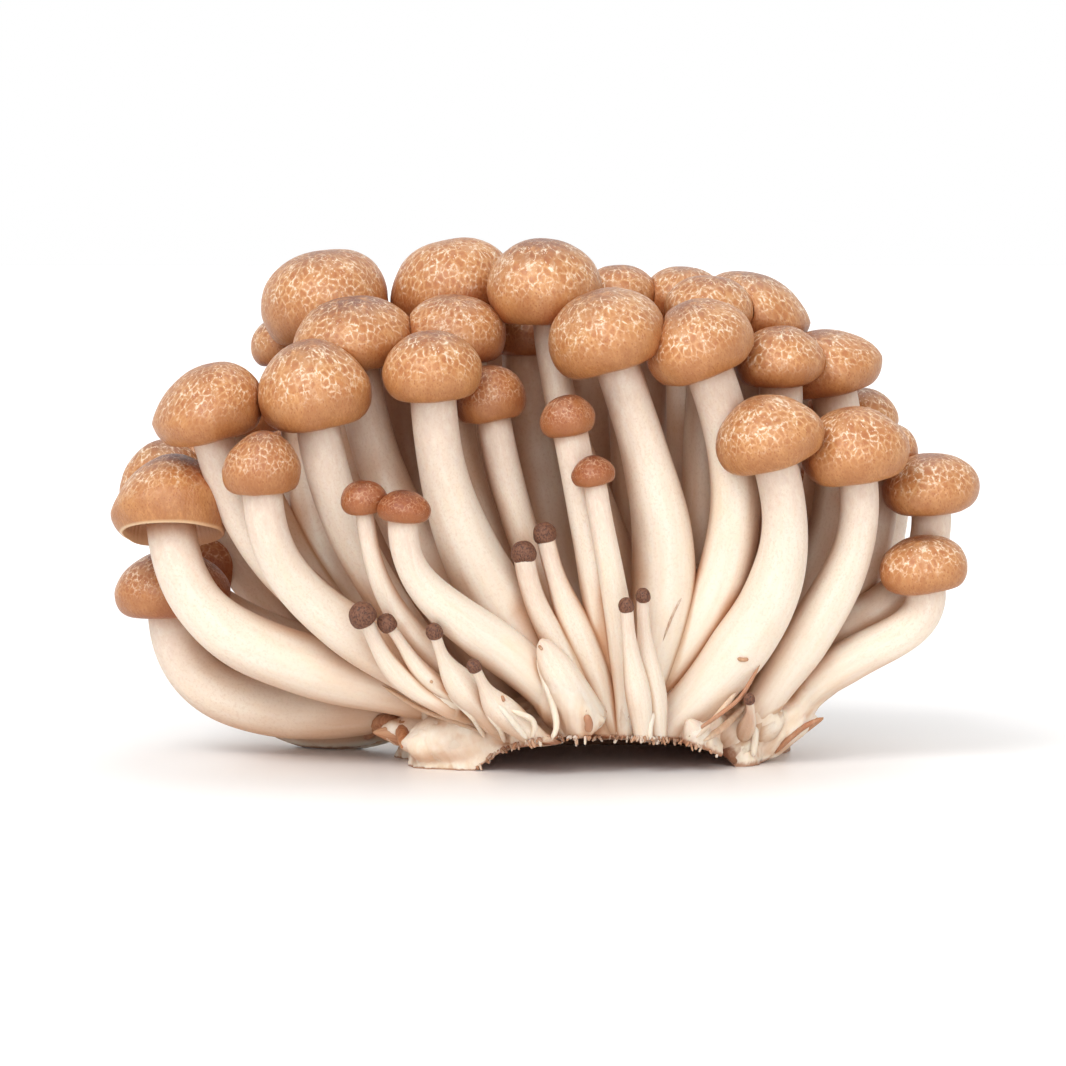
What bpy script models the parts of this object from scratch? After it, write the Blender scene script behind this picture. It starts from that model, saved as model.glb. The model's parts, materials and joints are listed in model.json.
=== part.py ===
"""A cluster of brown beech mushrooms, as it stands on the cut face of its own base.

The mushrooms are laid out on a front view: a place is given as millimetres across and up in that
view, and a depth behind its middle plane. Stems, pins and base are one grown body, and each brown
cap sits on its stem as a piece of its own.
"""

import math
import random
from collections import namedtuple

import bmesh
import bpy
from mathutils import Vector

MM = 0.001

# The middle of the finished cluster's box, from the front view's origin; it is put over the origin.
BOX_MIDDLE = Vector((-0.05, 0.95, 0.0))

# The front view: how far off and how high the eye is, and the point it looks at.
EYE_DISTANCE = 750.0
EYE_ELEVATION = math.radians(4)
EYE_TARGET = Vector((-1.9, 0.0, 35.8))
VIEW_MIDDLE_UP = 37.9

# Clearance between a cap and whatever is next to it, and how far a stem runs on into its cap.
GAP = 0.32
SUNK = 1.5

# The base mat: its middle, half width, half depth, how much further back it lies for each millimetre to
# the right, its height, and the rings that shape it, as height and share of its width.
BASE_MIDDLE = Vector((7.0, -1.0))
BASE_HALF_WIDTH = 30.0
BASE_HALF_DEPTH = 20.0
BASE_SLANT = 0.15
BASE_HEIGHT = 11.0
BASE_SIDES = 22
BASE_LEVELS = ((-2.0, 1.0), (2.5, 1.03), (6.0, 0.9), (9.0, 0.66), (BASE_HEIGHT, 0.34))

# The hollow that the knife left under the front: its middle, half span and rise across the cluster, and
# the depths between which its roof comes down to the surface.
HOLLOW_MIDDLE = 9.5
HOLLOW_HALF_SPAN = 20.5
HOLLOW_RISE = 5.0
HOLLOW_FULL = -6.0
HOLLOW_BACK = 15.0
HOLLOW_STEPS = 10
HOLLOW_ROWS = 3
KNIFE_REACH = 90.0
KNIFE_DEEP = 20.0

# A cap's outline as shares of its radius and height.
WIDEST_UP = 0.36
MARGIN_RADIUS = 0.88
MARGIN_UP = 0.10
LIP_RADIUS = 0.72
UNDER_UP = 0.09
GILL_DEPTH = 0.35

DOME_SHARES = (0.42, 0.76)
PIN_DOME_SHARES = (0.6,)

# How finely the pieces are faceted, and how much of a stem one ring of it spans.
CAP_SIDES = 12
SMALL_CAP_SIDES = 10
SMALL_CAP = 15.5
PIN_SIDES = 8
STEM_SIDES = 8
BACK_STEM_SIDES = 7
PIN_STEM_SIDES = 6
STEM_RING_SPAN = 12.0
PIN_RING_SPAN = 4.5
FEWEST_RINGS = 5

# How far a stem keeps straight on from its root and from its cap, as shares of its reach, where it is
# at its thickest, and how thick its root is beside that.
UPRIGHT_SWEEP = 0.36
SIDEWAYS_SWEEP = 0.56
CAP_SWEEP = 0.36
BELLY_AT = 0.34
ROOT_SHARE = 0.72

# A stem that starts lower than this turns down to the cut: how far below it and how far inwards it goes.
FOOT_BELOW = 6.5
FOOT_DEEP = 3.0
FOOT_IN = 3.0

Mushroom = namedtuple(
    "Mushroom",
    "across up depth cap_wide cap_tall full lean nod stem_wide belly root_across root_up root_depth root_lean"
    " peak",
    defaults=(0.0,),
)

# across, up, depth: where the cap sits on its stem. lean is to the right and nod towards the front,
# in degrees. full is the roundness of the dome. root_lean is the stem's lean where it leaves the base.
# peak is how far the top of a lopsided dome stands to the right of its middle.
MUSHROOMS = [
    # left side of the front
    Mushroom(-53.1, 53.4, -19, 17.9, 11.1, 1.7, -13, 7, 6.6, 7.5, -11.9, 6.0, -11, -50, 2.2),
    Mushroom(-36.4, 55.6, -21, 17.8, 13.1, 1.6, -8, 8, 7.0, 6.4, -9.5, 4.7, -14, -35),
    Mushroom(-34.3, 69.3, 5, 21.4, 13.8, 2.1, -8, 6, 8.0, 9.0, -8.0, 5.0, -2, -35, 0.5),
    Mushroom(-41.0, 65.4, 14, 11.6, 7.4, 2.0, -12, 2, 6.5, 10.0, -10.0, 5, 4, -58),
    Mushroom(-30.1, 65.1, -10, 19.2, 10.6, 1.7, -6, 10, 7.2, 8.7, -4.3, 5.1, -8, -26),
    Mushroom(-14.3, 71.6, 6, 19.0, 13.4, 2.1, -8, 7, 8.0, 9.0, 6.0, 5.0, 0, -22, 1.0),
    Mushroom(-14.7, 66.0, -8, 16.8, 9.8, 2.0, 3, 8, 6.5, 8.0, 2.0, 5, -6, -20),
    Mushroom(-17.9, 60.1, -22, 16.1, 9.9, 1.8, -3, 9, 7.3, 10.4, 7.4, 5.4, -15, -37),
    # middle and right side of the front
    Mushroom(0.5, 72.4, -6, 18.5, 12.6, 1.8, -4, 9, 5.0, 7.7, 16.8, 5.1, -4, -5, -0.6),
    Mushroom(-8.2, 56.3, -14, 11.2, 8.3, 1.9, -9, 6, 5.5, 4.8, 7.2, 4.9, -9, -15),
    Mushroom(4.1, 53.9, -24, 8.7, 6.0, 1.7, -10, 7, 5.5, 7.0, 11.6, 5.0, -16, -2),
    Mushroom(8.0, 45.8, -28, 6.9, 4.4, 1.5, -9, 7, 3.7, 4.5, 12.5, 5.1, -19, 3),
    Mushroom(11.4, 65.2, -17, 19.3, 11.7, 1.8, -18, 9, 7.1, 10.4, 12.6, 6.0, -14, 25, -0.5),
    Mushroom(12.0, 72.8, 7, 13.0, 8.0, 1.9, -3, 4, 5.5, 7.0, 18.0, 5, 2, -6),
    Mushroom(22.1, 72.3, 8, 13.5, 8.2, 2.0, 0, 4, 5.5, 7.0, 22.0, 5, 2, 3),
    Mushroom(26.1, 70.4, -4, 14.7, 8.6, 1.9, 4, 6, 6.0, 7.5, 24.0, 5, -3, 5),
    Mushroom(26.2, 64.0, -17, 17.2, 11.2, 1.7, -21, 9, 7.6, 8.5, 12.1, 6.8, -13, 45),
    Mushroom(33.5, 69.6, 5, 17.6, 9.8, 1.9, 10, 5, 6.5, 8.0, 27.0, 5.0, 1, 12, -2.4),
    Mushroom(37.7, 62.1, -9, 13.9, 8.8, 1.7, -3, 10, 7.0, 8.0, 28.0, 5.0, -6, 15),
    Mushroom(46.1, 60.9, 0, 17.1, 9.8, 1.7, -13, 8, 7.5, 8.0, 31.0, 5.0, -2, 30, -1.3),
    Mushroom(50.1, 53.7, 10, 13.0, 7.6, 1.9, 5, 3, 5.5, 6.5, 32.0, 5.0, 4, 35),
    Mushroom(36.8, 49.2, -22, 16.6, 10.6, 1.7, -16, 9, 7.0, 9.7, 17.8, 4.8, -16, 46),
    Mushroom(50.0, 46.9, -16, 16.6, 11.0, 1.7, -9, 9, 6.3, 7.8, 31.4, 4.5, -12, 28),
    Mushroom(53.8, 47.9, -1, 11.4, 7.8, 1.9, 0, 4, 6.1, 6.1, 32.2, 6.1, -2, 46),
    Mushroom(61.8, 41.8, -6, 15.9, 8.7, 1.9, -4, 7, 6.4, 6.7, 30.5, 13.1, -3, 65),
    Mushroom(60.9, 29.3, -12, 13.6, 8.0, 2.0, -8, 9, 6.4, 7.1, 39.8, 7.9, -8, 26),
    # low on the left
    Mushroom(-45.2, 44.7, -29, 11.9, 9.3, 1.5, -2, 7, 6.3, 8.0, -8.3, 5.5, -17, -49, 0.5),
    Mushroom(-59.6, 37.6, -15, 19.0, 12.7, 1.5, -9, -17, 7.9, 9.9, -13.8, 9.2, -13, -74, 1.3),
    Mushroom(-60.2, 40.5, 4, 14.5, 12.5, 1.6, -4, 0, 7.5, 9.5, -15.0, 5, 4, -62),
    Mushroom(-59.3, 25.0, 1, 18.6, 10.3, 1.6, -2, 2, 8.6, 9.2, -12.0, 11.1, -3, -104),
    Mushroom(-28.8, 41.3, -30, 7.3, 4.8, 1.9, -5, 7, 2.9, 4.5, -3.8, 5.1, -20, -47),
    Mushroom(-22.7, 40.1, -33, 8.4, 4.4, 1.8, 3, 8, 4.7, 7.7, 4.3, 6.9, -22, -30),
    # behind the front rows
    Mushroom(-2.9, 66.4, 13, 12.0, 7.4, 1.8, 0, 0, 8.2, 9.5, 8.0, 5, 4, -8),
    Mushroom(-54.4, 28.6, 19, 16.0, 9.6, 1.9, -8, -5, 7.0, 10.4, -20.0, 6.8, 7, -108),
    Mushroom(-35.5, 67.0, 22, 16.5, 9.6, 1.9, -12, -10, 6.5, 8.0, -8.0, 5, 9, -30),
    Mushroom(-24.0, 66.4, 17, 13.5, 8.0, 1.9, -4, -4, 7.5, 11.0, -2.0, 5, 8, -24),
    Mushroom(-10.5, 69.0, 25, 17.5, 10.0, 1.9, -5, -14, 8.5, 11.0, 2.0, 5, 11, -12),
    Mushroom(6.5, 69.0, 26, 16.0, 9.4, 1.9, 0, -14, 9.0, 12.0, 9.0, 5, 12, -4),
    Mushroom(17.0, 67.0, 21, 15.5, 9.0, 1.9, 3, -12, 6.5, 8.0, 14.0, 5, 11, 4),
    Mushroom(29.0, 66.0, 21, 15.0, 8.8, 1.9, 5, -12, 6.0, 7.5, 22.0, 5, 10, 10),
    Mushroom(39.5, 61.0, 13, 14.0, 8.4, 1.9, 8, -8, 6.0, 7.5, 27.0, 5, 8, 22),
    Mushroom(46.5, 53.0, 23, 14.5, 8.6, 1.9, 10, -12, 8.5, 10.5, 30.0, 5, 9, 38),
    Mushroom(-48.5, 53.0, 12, 15.5, 9.0, 1.9, -12, -6, 8.0, 11.0, -12.0, 5, 6, -52),
    Mushroom(-54.0, 46.0, 20, 14.0, 8.4, 1.8, -12, -10, 6.0, 7.0, -15.0, 5, 8, -60),
    Mushroom(54.0, 44.0, 11, 13.5, 8.0, 1.9, 8, -6, 9.4, 9.6, 33.0, 6, 5, 58),
    Mushroom(-37.4, 48.6, 29, 16.5, 10.0, 1.8, -6, -14, 11.2, 13.0, -8.0, 5, 14, -46),
    Mushroom(-13.0, 50.0, 31, 15.0, 8.8, 1.8, -3, -12, 6.5, 9.5, 2.0, 5, 16, -22),
    Mushroom(4.6, 45.8, 31, 13.0, 8.6, 1.8, 2, -12, 6.0, 8.5, 9.0, 5, 16, -4),
    Mushroom(23.0, 49.0, 31, 15.0, 8.8, 1.8, 5, -12, 6.5, 9.0, 18.0, 5, 15, 16),
    Mushroom(41.0, 41.0, 28, 13.5, 8.6, 1.8, 6, -10, 6.0, 8.0, 27.0, 5, 12, 48),
]
FRONT_ROWS = 32

PINS = [
    Mushroom(-28.6, 23.6, -32.0, 4.2, 3.5, 2.0, -25, 25, 2.4, 3.6, -15.0, 10, -25, -60),
    Mushroom(-24.6, 22.6, -30.5, 3.0, 2.7, 2.0, -35, 20, 1.8, 3.2, -12.0, 11, -25, -62),
    Mushroom(-17.4, 21.2, -32.0, 2.6, 2.4, 2.0, -15, 20, 1.8, 5.4, -8.0, 8, -25, -38),
    Mushroom(-11.0, 15.9, -33.0, 2.2, 2.0, 2.0, -25, 25, 1.7, 5.0, -1.5, 6, -26, -55),
    Mushroom(-3.2, 33.4, -24.0, 3.9, 3.2, 2.0, -8, 10, 3.4, 4.8, 8.8, 6, -19, -20),
    Mushroom(0.2, 36.6, -23.0, 3.6, 3.0, 2.0, -12, 10, 3.0, 6.5, 10.0, 6, -18, -12),
    Mushroom(13.1, 25.4, -30.0, 2.5, 2.2, 2.0, -4, 15, 2.1, 4.0, 15.4, 4, -23, -4),
    Mushroom(15.7, 27.0, -27.0, 2.4, 2.1, 2.0, 0, 15, 2.0, 4.4, 17.6, 4, -21, -3),
    Mushroom(32.8, 10.8, -22.0, 1.9, 1.6, 2.0, -10, 30, 1.3, 2.8, 31.0, 3, -13, 5),
]

# Stems that never grew a cap, and lumps of the base: tip across, up and depth, width at the tip and
# the root, then root across, up and depth.
Finger = namedtuple("Finger", "across up depth tip_wide root_wide root_across root_up root_depth")
FINGERS = [
    Finger(-0.6, 20.9, -29.0, 5.0, 7.2, 6.2, 8.0, -23.0),
    Finger(-5.5, 11.0, -26.0, 3.0, 5.0, -2.0, 3.0, -21.0),
    Finger(23.0, 8.0, -23.0, 3.0, 6.0, 25.0, 2.5, -17.0),
    Finger(-23.2, 3.8, -18.0, 3.4, 12.5, -11.5, 5.6, -14.5),
    Finger(44.6, 8.2, -8.0, 1.4, 8.0, 32.0, 3.0, -8.0),
    Finger(-27.5, 6.0, -12.0, 1.6, 7.0, -19.0, 5.0, -10.0),
    Finger(38.0, 9.5, -12.0, 6.0, 8.0, 31.0, 5.0, -9.0),
]
FINGER_SIDES = 8
FINGER_RINGS = 5


def place(across, up, depth):
    """The point, in millimetres, that the front view shows at across and up when it lies at depth."""
    sine, cosine = math.sin(EYE_ELEVATION), math.cos(EYE_ELEVATION)
    seen_up = up - VIEW_MIDDLE_UP
    height = seen_up * (1 + depth * cosine / EYE_DISTANCE) - depth * sine
    height /= cosine + seen_up * sine / EYE_DISTANCE
    spread = 1 + (depth * cosine - height * sine) / EYE_DISTANCE
    return Vector((EYE_TARGET.x + (across - EYE_TARGET.x) * spread, depth, EYE_TARGET.z + height))


def axis_of(mushroom):
    """The way that a mushroom's cap points."""
    lean, nod = math.radians(mushroom.lean), math.radians(mushroom.nod)
    return Vector((math.sin(lean) * math.cos(nod), -math.sin(nod), math.cos(lean) * math.cos(nod)))


def seat_of(mushroom):
    return place(mushroom.across, mushroom.up, mushroom.depth)


def stem_path(mushroom, span):
    """Points and radii along a stem, from its root in the base to the inside of its cap."""
    seat, axis = seat_of(mushroom), axis_of(mushroom)
    root = Vector((mushroom.root_across, mushroom.root_depth, mushroom.root_up))
    reach = (seat - root).length
    lean = math.radians(mushroom.root_lean)
    start = Vector((math.sin(lean), 0.6 * (seat.y - root.y) / reach, math.cos(lean))).normalized()
    sweep = reach * (UPRIGHT_SWEEP + (SIDEWAYS_SWEEP - UPRIGHT_SWEEP) * abs(math.sin(lean)))
    controls = (root, root + start * sweep, seat - axis * CAP_SWEEP * reach, seat)
    path, steps = [], max(FEWEST_RINGS, round(reach / span))
    for step in range(steps + 1):
        t = step / steps
        weights = ((1 - t) ** 3, 3 * t * (1 - t) ** 2, 3 * t * t * (1 - t), t**3)
        point = sum((weight * control for weight, control in zip(weights, controls)), Vector())
        path.append((point, stem_radius(mushroom, t)))
    if mushroom.root_up < FOOT_BELOW:
        foot = Vector((root.x - start.x * FOOT_IN, root.y, -FOOT_DEEP))
        path.insert(0, (foot, path[0][1]))
    path.append((seat + axis * SUNK, path[-1][1]))
    return path


def stem_radius(mushroom, t):
    belly, top = mushroom.belly / 2, mushroom.stem_wide / 2
    if t < BELLY_AT:
        return belly * (ROOT_SHARE + (1 - ROOT_SHARE) * ease(t / BELLY_AT))
    return belly + (top - belly) * ease((t - BELLY_AT) / (0.9 - BELLY_AT))


def ease(t):
    t = min(max(t, 0.0), 1.0)
    return t * t * (3 - 2 * t)


def finger_path(finger):
    """Points and radii along a capless stem, with a rounded tip."""
    root = Vector((finger.root_across, finger.root_depth, finger.root_up))
    tip = place(finger.across, finger.up, finger.depth)
    path = []
    for step in range(FINGER_RINGS):
        t = step / (FINGER_RINGS - 1)
        wide = finger.root_wide + (finger.tip_wide - finger.root_wide) * t
        rounding = math.sqrt(max(1 - max(t - 0.5, 0) ** 2 * 3.4, 0.1))
        arch = Vector((0, -math.sin(math.pi * t) * 0.08 * (tip - root).length, 0))
        path.append((root.lerp(tip, t) + arch, wide / 2 * rounding))
    return path


def mesh_object(name, points, faces):
    """An object made of points in millimetres, with its faces turned outwards."""
    mesh = bpy.data.meshes.new(name)
    mesh.from_pydata([(point - BOX_MIDDLE) * MM for point in points], [], faces)
    shape = bmesh.new()
    shape.from_mesh(mesh)
    bmesh.ops.recalc_face_normals(shape, faces=shape.faces)
    bmesh.ops.triangulate(shape, faces=[face for face in shape.faces if len(face.verts) > 4])
    shape.to_mesh(mesh)
    shape.free()
    made = bpy.data.objects.new(name, mesh)
    bpy.context.scene.collection.objects.link(made)
    return made


def bridge(first, second):
    """Faces between two closed rings, given as lists of point numbers, of one size or one to two."""
    count = len(first)
    if len(second) == count:
        return [
            (first[i], first[(i + 1) % count], second[(i + 1) % count], second[i]) for i in range(count)
        ]
    faces = []
    for i in range(count):
        after = (i + 1) % count
        low, middle, high = second[2 * i], second[2 * i + 1], second[(2 * i + 2) % (2 * count)]
        faces += [(first[i], middle, low), (first[i], first[after], middle), (first[after], high, middle)]
    return faces


def tube(name, path, sides, turn=0.0):
    """A closed round tube along a path of points and radii."""
    points, rings = [], []
    side = Vector((0, 1, 0))
    for number, (point, radius) in enumerate(path):
        before = path[max(number - 1, 0)][0]
        after = path[min(number + 1, len(path) - 1)][0]
        along = (after - before).normalized()
        side = (side - along * side.dot(along)).normalized()
        other = along.cross(side)
        rings.append(list(range(len(points), len(points) + sides)))
        for corner in range(sides):
            angle = 2 * math.pi * corner / sides + turn
            points.append(point + radius * (math.cos(angle) * side + math.sin(angle) * other))
    faces = [tuple(rings[0]), tuple(rings[-1])]
    for first, second in zip(rings, rings[1:]):
        faces += bridge(first, second)
    return mesh_object(name, points, faces)


def lobes(number, angle):
    """How far a cap's rim stands in or out at an angle, as a share: no two caps are quite round."""
    draw = random.Random(number)
    first, second = draw.uniform(0, 6.28), draw.uniform(0, 6.28)
    return 1 + 0.035 * math.sin(2 * angle + first) + 0.018 * math.sin(3 * angle + second)


def dome_up(share, full):
    """Height of the dome above its widest ring, as a share, at a share of its radius."""
    return WIDEST_UP + (1 - WIDEST_UP) * (1 - share**full) ** (1 / full)


def peak_shift(mushroom, height):
    """How far a lopsided dome has moved to the right at a height."""
    rise = (height / mushroom.cap_tall - WIDEST_UP) / (1 - WIDEST_UP)
    return mushroom.peak * min(max(rise, 0.0), 1.0)


def cap_rings(mushroom, sides, grown):
    """Radius and height of each ring of a cap, in millimetres, from near its top to its inner lip."""
    radius, tall = mushroom.cap_wide / 2, mushroom.cap_tall
    rings = []
    for share in DOME_SHARES if sides > PIN_SIDES else PIN_DOME_SHARES:
        rings.append(((radius + grown) * share, tall * dome_up(share, mushroom.full) + grown))
    rings.append((radius + grown, tall * WIDEST_UP))
    rings.append((radius * MARGIN_RADIUS + grown, tall * MARGIN_UP - grown))
    rings.append((radius * LIP_RADIUS - grown, -grown))
    return rings


def cap(name, number, mushroom, sides, grown=0.0):
    """A cap: a lobed dome with an inrolled margin and, unless it is a pin, ribs of gills below.

    Grown by the gap on every side, and without its ribs, it is the room that the cap needs.
    """
    seat, axis = seat_of(mushroom), axis_of(mushroom)
    side = (Vector((0, 1, 0)) - axis * axis.y).normalized()
    other = axis.cross(side)
    points, rings = [seat + axis * (mushroom.cap_tall + grown) - other * mushroom.peak], []

    def add_ring(radius, height, count, ripple=0.0):
        rings.append(list(range(len(points), len(points) + count)))
        for i in range(count):
            angle = 2 * math.pi * i / count
            out = radius * lobes(number, angle)
            up = height + (ripple if i % 2 else -ripple)
            middle = seat + axis * up - other * peak_shift(mushroom, height)
            points.append(middle + out * (math.cos(angle) * side + math.sin(angle) * other))

    for radius, height in cap_rings(mushroom, sides, grown):
        add_ring(radius, height, sides)
    faces = [(0, rings[0][i], rings[0][(i + 1) % sides]) for i in range(sides)]
    inner = min(mushroom.stem_wide / 2 + 0.7, 0.9 * (mushroom.cap_wide / 2 * LIP_RADIUS - grown))
    under = mushroom.cap_tall * UNDER_UP + GILL_DEPTH
    if sides > PIN_SIDES and grown:
        add_ring(inner, under - GILL_DEPTH - grown, sides)
    elif sides > PIN_SIDES:
        add_ring(inner, under, 2 * sides, GILL_DEPTH)
    for first, second in zip(rings, rings[1:]):
        faces += bridge(first, second)
    faces.append(tuple(rings[-1]))
    return mesh_object(name, points, faces)


def room(number, mushroom, sides):
    return cap("room", number, mushroom, sides, GAP / math.cos(math.pi / sides))


def base_mat():
    """The low lobed mat of grown-together tissue that every stem springs from."""
    points, rings = [], []
    for height, share in BASE_LEVELS:
        rings.append(list(range(len(points), len(points) + BASE_SIDES)))
        for i in range(BASE_SIDES):
            angle = 2 * math.pi * i / BASE_SIDES
            out = share * (1 + 0.05 * math.sin(5 * angle + 1) + 0.03 * math.sin(9 * angle))
            x = BASE_MIDDLE.x + BASE_HALF_WIDTH * out * math.cos(angle)
            y = BASE_MIDDLE.y + BASE_HALF_DEPTH * out * math.sin(angle) + BASE_SLANT * (x - BASE_MIDDLE.x)
            points.append(Vector((x, y, height)))
    faces = [tuple(rings[0]), tuple(rings[-1])]
    for first, second in zip(rings, rings[1:]):
        faces += bridge(first, second)
    return mesh_object("stems_and_base", points, faces)


def knife():
    """Everything under the cut: the space below the surface, and a hollow that opens at the front."""
    rows = [(-KNIFE_REACH, 1.0)]
    for step in range(HOLLOW_ROWS + 1):
        share = step / HOLLOW_ROWS
        rows.append((HOLLOW_FULL + share * (HOLLOW_BACK - HOLLOW_FULL), 1 - share**2))
    rows.append((KNIFE_REACH, 0.0))
    points, rings = [], []
    for y, height in rows:
        profile = [(-KNIFE_REACH, -KNIFE_DEEP), (-KNIFE_REACH, 0.0)]
        for step in range(HOLLOW_STEPS + 1):
            share = 2 * step / HOLLOW_STEPS - 1
            x = HOLLOW_MIDDLE + share * HOLLOW_HALF_SPAN
            profile.append((x, HOLLOW_RISE * height * (1 - share**4)))
        profile += [(KNIFE_REACH, 0.0), (KNIFE_REACH, -KNIFE_DEEP)]
        rings.append(list(range(len(points), len(points) + len(profile))))
        points += [Vector((x, y, z)) for x, z in profile]
    faces = [tuple(rings[0]), tuple(rings[-1])]
    for first, second in zip(rings, rings[1:]):
        faces += bridge(first, second)
    return mesh_object("knife", points, faces)


def combine(target, operation, tools):
    """Joins tools to target or takes them away, applies that and removes the tools."""
    group = bpy.data.collections.new("tools")
    bpy.context.scene.collection.children.link(group)
    for tool in tools:
        bpy.context.scene.collection.objects.unlink(tool)
        group.objects.link(tool)
    boolean = target.modifiers.new("combine", "BOOLEAN")
    boolean.operation = operation
    boolean.operand_type = "COLLECTION"
    boolean.collection = group
    boolean.solver = "MANIFOLD"
    graph = bpy.context.evaluated_depsgraph_get()
    graph.update()
    made = bpy.data.meshes.new_from_object(target.evaluated_get(graph))
    target.modifiers.clear()
    target.data = made
    for tool in tools:
        bpy.data.objects.remove(tool)
    bpy.data.collections.remove(group)


def drop_scrap(target):
    """Removes every loose bit from target but its largest body."""
    shape = bmesh.new()
    shape.from_mesh(target.data)
    left, bodies = set(shape.verts), []
    while left:
        edge, body = [left.pop()], []
        while edge:
            point = edge.pop()
            body.append(point)
            for joined in (link.other_vert(point) for link in point.link_edges):
                if joined in left:
                    left.remove(joined)
                    edge.append(joined)
        bodies.append(body)
    bodies.sort(key=len)
    bmesh.ops.delete(shape, geom=[point for body in bodies[:-1] for point in body], context="VERTS")
    shape.to_mesh(target.data)
    shape.free()


def material(name, colour, roughness):
    made = bpy.data.materials.new(name)
    made.use_nodes = True
    shader = made.node_tree.nodes["Principled BSDF"]
    shader.inputs["Base Color"].default_value = (*colour, 1)
    shader.inputs["Roughness"].default_value = roughness
    shader.inputs["Metallic"].default_value = 0.0
    return made


def finish(made, surface):
    made.data.materials.clear()
    made.data.materials.append(surface)
    made.data.shade_smooth()
    made.data.set_sharp_from_angle(angle=math.radians(50))


def all_caps():
    """Name, number, dimensions and side count of each cap, the large ones first."""
    rows = []
    for number, mushroom in enumerate(MUSHROOMS, 1):
        large = mushroom.cap_wide > SMALL_CAP and number <= FRONT_ROWS
        sides = CAP_SIDES if large else SMALL_CAP_SIDES
        rows.append((f"cap_{number:02d}", number, mushroom, sides))
    for number, mushroom in enumerate(PINS, 1):
        rows.append((f"pin_cap_{number}", 100 + number, mushroom, PIN_SIDES))
    return rows


def close_together(first, second):
    """Whether two caps could touch."""
    apart = (seat_of(first) - seat_of(second)).length
    return apart < 0.6 * (first.cap_wide + second.cap_wide) + 1


def build():
    for old in list(bpy.data.objects):
        bpy.data.objects.remove(old)
    cream = material("flesh", (0.86, 0.74, 0.58), 0.55)
    brown = material("cap_skin", (0.52, 0.25, 0.09), 0.5)
    dark = material("pin_skin", (0.13, 0.05, 0.03), 0.7)

    stems = []
    for number, mushroom in enumerate(MUSHROOMS):
        sides = STEM_SIDES if number < FRONT_ROWS else BACK_STEM_SIDES
        stems.append(tube("stem", stem_path(mushroom, STEM_RING_SPAN), sides, 0.37 * number))
    for number, pin in enumerate(PINS):
        stems.append(tube("stem", stem_path(pin, PIN_RING_SPAN), PIN_STEM_SIDES, 0.37 * number))
    for number, finger in enumerate(FINGERS):
        stems.append(tube("stem", finger_path(finger), FINGER_SIDES, 0.37 * number))
    body = base_mat()
    combine(body, "UNION", stems)
    combine(body, "DIFFERENCE", [knife()])
    combine(body, "DIFFERENCE", [room(number, mushroom, sides) for _, number, mushroom, sides in all_caps()])
    drop_scrap(body)
    finish(body, cream)

    done = []
    for name, number, mushroom, sides in all_caps():
        made = cap(name, number, mushroom, sides)
        rooms = [room(*other) for other in done if close_together(mushroom, other[1])]
        if rooms:
            combine(made, "DIFFERENCE", rooms)
        done.append((number, mushroom, sides))
        finish(made, dark if name.startswith("pin") else brown)


build()
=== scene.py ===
"""The look of a cluster of brown beech mushrooms: patterned caps, fibrous stems and a torn base.

The mushrooms are laid out on a front view: a place is given as millimetres across and up in that
view, and a depth behind its middle plane.
"""

import json
import math
import random
from collections import namedtuple

import bmesh
import bpy
import numpy as np
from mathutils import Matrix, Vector, noise
from mathutils.bvhtree import BVHTree
from mathutils.kdtree import KDTree

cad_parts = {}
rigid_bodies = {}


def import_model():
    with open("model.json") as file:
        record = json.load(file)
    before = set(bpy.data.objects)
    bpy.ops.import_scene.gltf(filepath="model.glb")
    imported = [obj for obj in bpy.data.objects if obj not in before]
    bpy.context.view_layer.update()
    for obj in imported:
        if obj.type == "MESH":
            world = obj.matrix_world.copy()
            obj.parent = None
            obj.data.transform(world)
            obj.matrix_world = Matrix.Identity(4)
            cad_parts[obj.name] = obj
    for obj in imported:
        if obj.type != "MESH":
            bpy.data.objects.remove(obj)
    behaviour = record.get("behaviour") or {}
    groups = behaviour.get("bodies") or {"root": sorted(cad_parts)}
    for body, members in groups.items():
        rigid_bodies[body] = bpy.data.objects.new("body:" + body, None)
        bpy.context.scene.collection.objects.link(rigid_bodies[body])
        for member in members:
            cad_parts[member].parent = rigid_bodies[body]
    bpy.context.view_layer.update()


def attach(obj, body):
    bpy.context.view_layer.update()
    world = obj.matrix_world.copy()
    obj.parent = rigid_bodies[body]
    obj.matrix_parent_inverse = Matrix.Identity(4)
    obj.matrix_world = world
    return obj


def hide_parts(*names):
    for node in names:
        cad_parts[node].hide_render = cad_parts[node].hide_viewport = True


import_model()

MM = 0.001
BOX_MIDDLE = Vector((-0.05, 0.95, 0.0))

# The rays that tell how sheltered a point is, for the painted shade: how many, how far out they start and how
# far they reach.
SHELTER_RAYS = 32
SHELTER_START = 1.3
SHELTER_REACH = 45.0
SHELTER_STRIDE = 9

# The front view: how far off and how high the eye is, the point it looks at and what it takes in.
EYE_DISTANCE = 750.0
EYE_ELEVATION = math.radians(4)
EYE_TARGET = Vector((-1.9, 0.0, 35.8))
VIEW_MIDDLE_UP = 37.9
VIEW_WIDTH = 170.56

BASE_MIDDLE = Vector((7.0, -1.0))
BASE_HALF_WIDTH = 30.0
BASE_HALF_DEPTH = 20.0
BASE_SLANT = 0.15
BASE_HEIGHT = 11.0

# The melted skin of the base: its grain, how often it is smoothed, and the point its fibres fan out from.
MELT_VOXEL = 0.42
MELT_ROUNDS = 5
FIBRE_FOCUS = (7.0, 3.0, -28.0)

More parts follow.
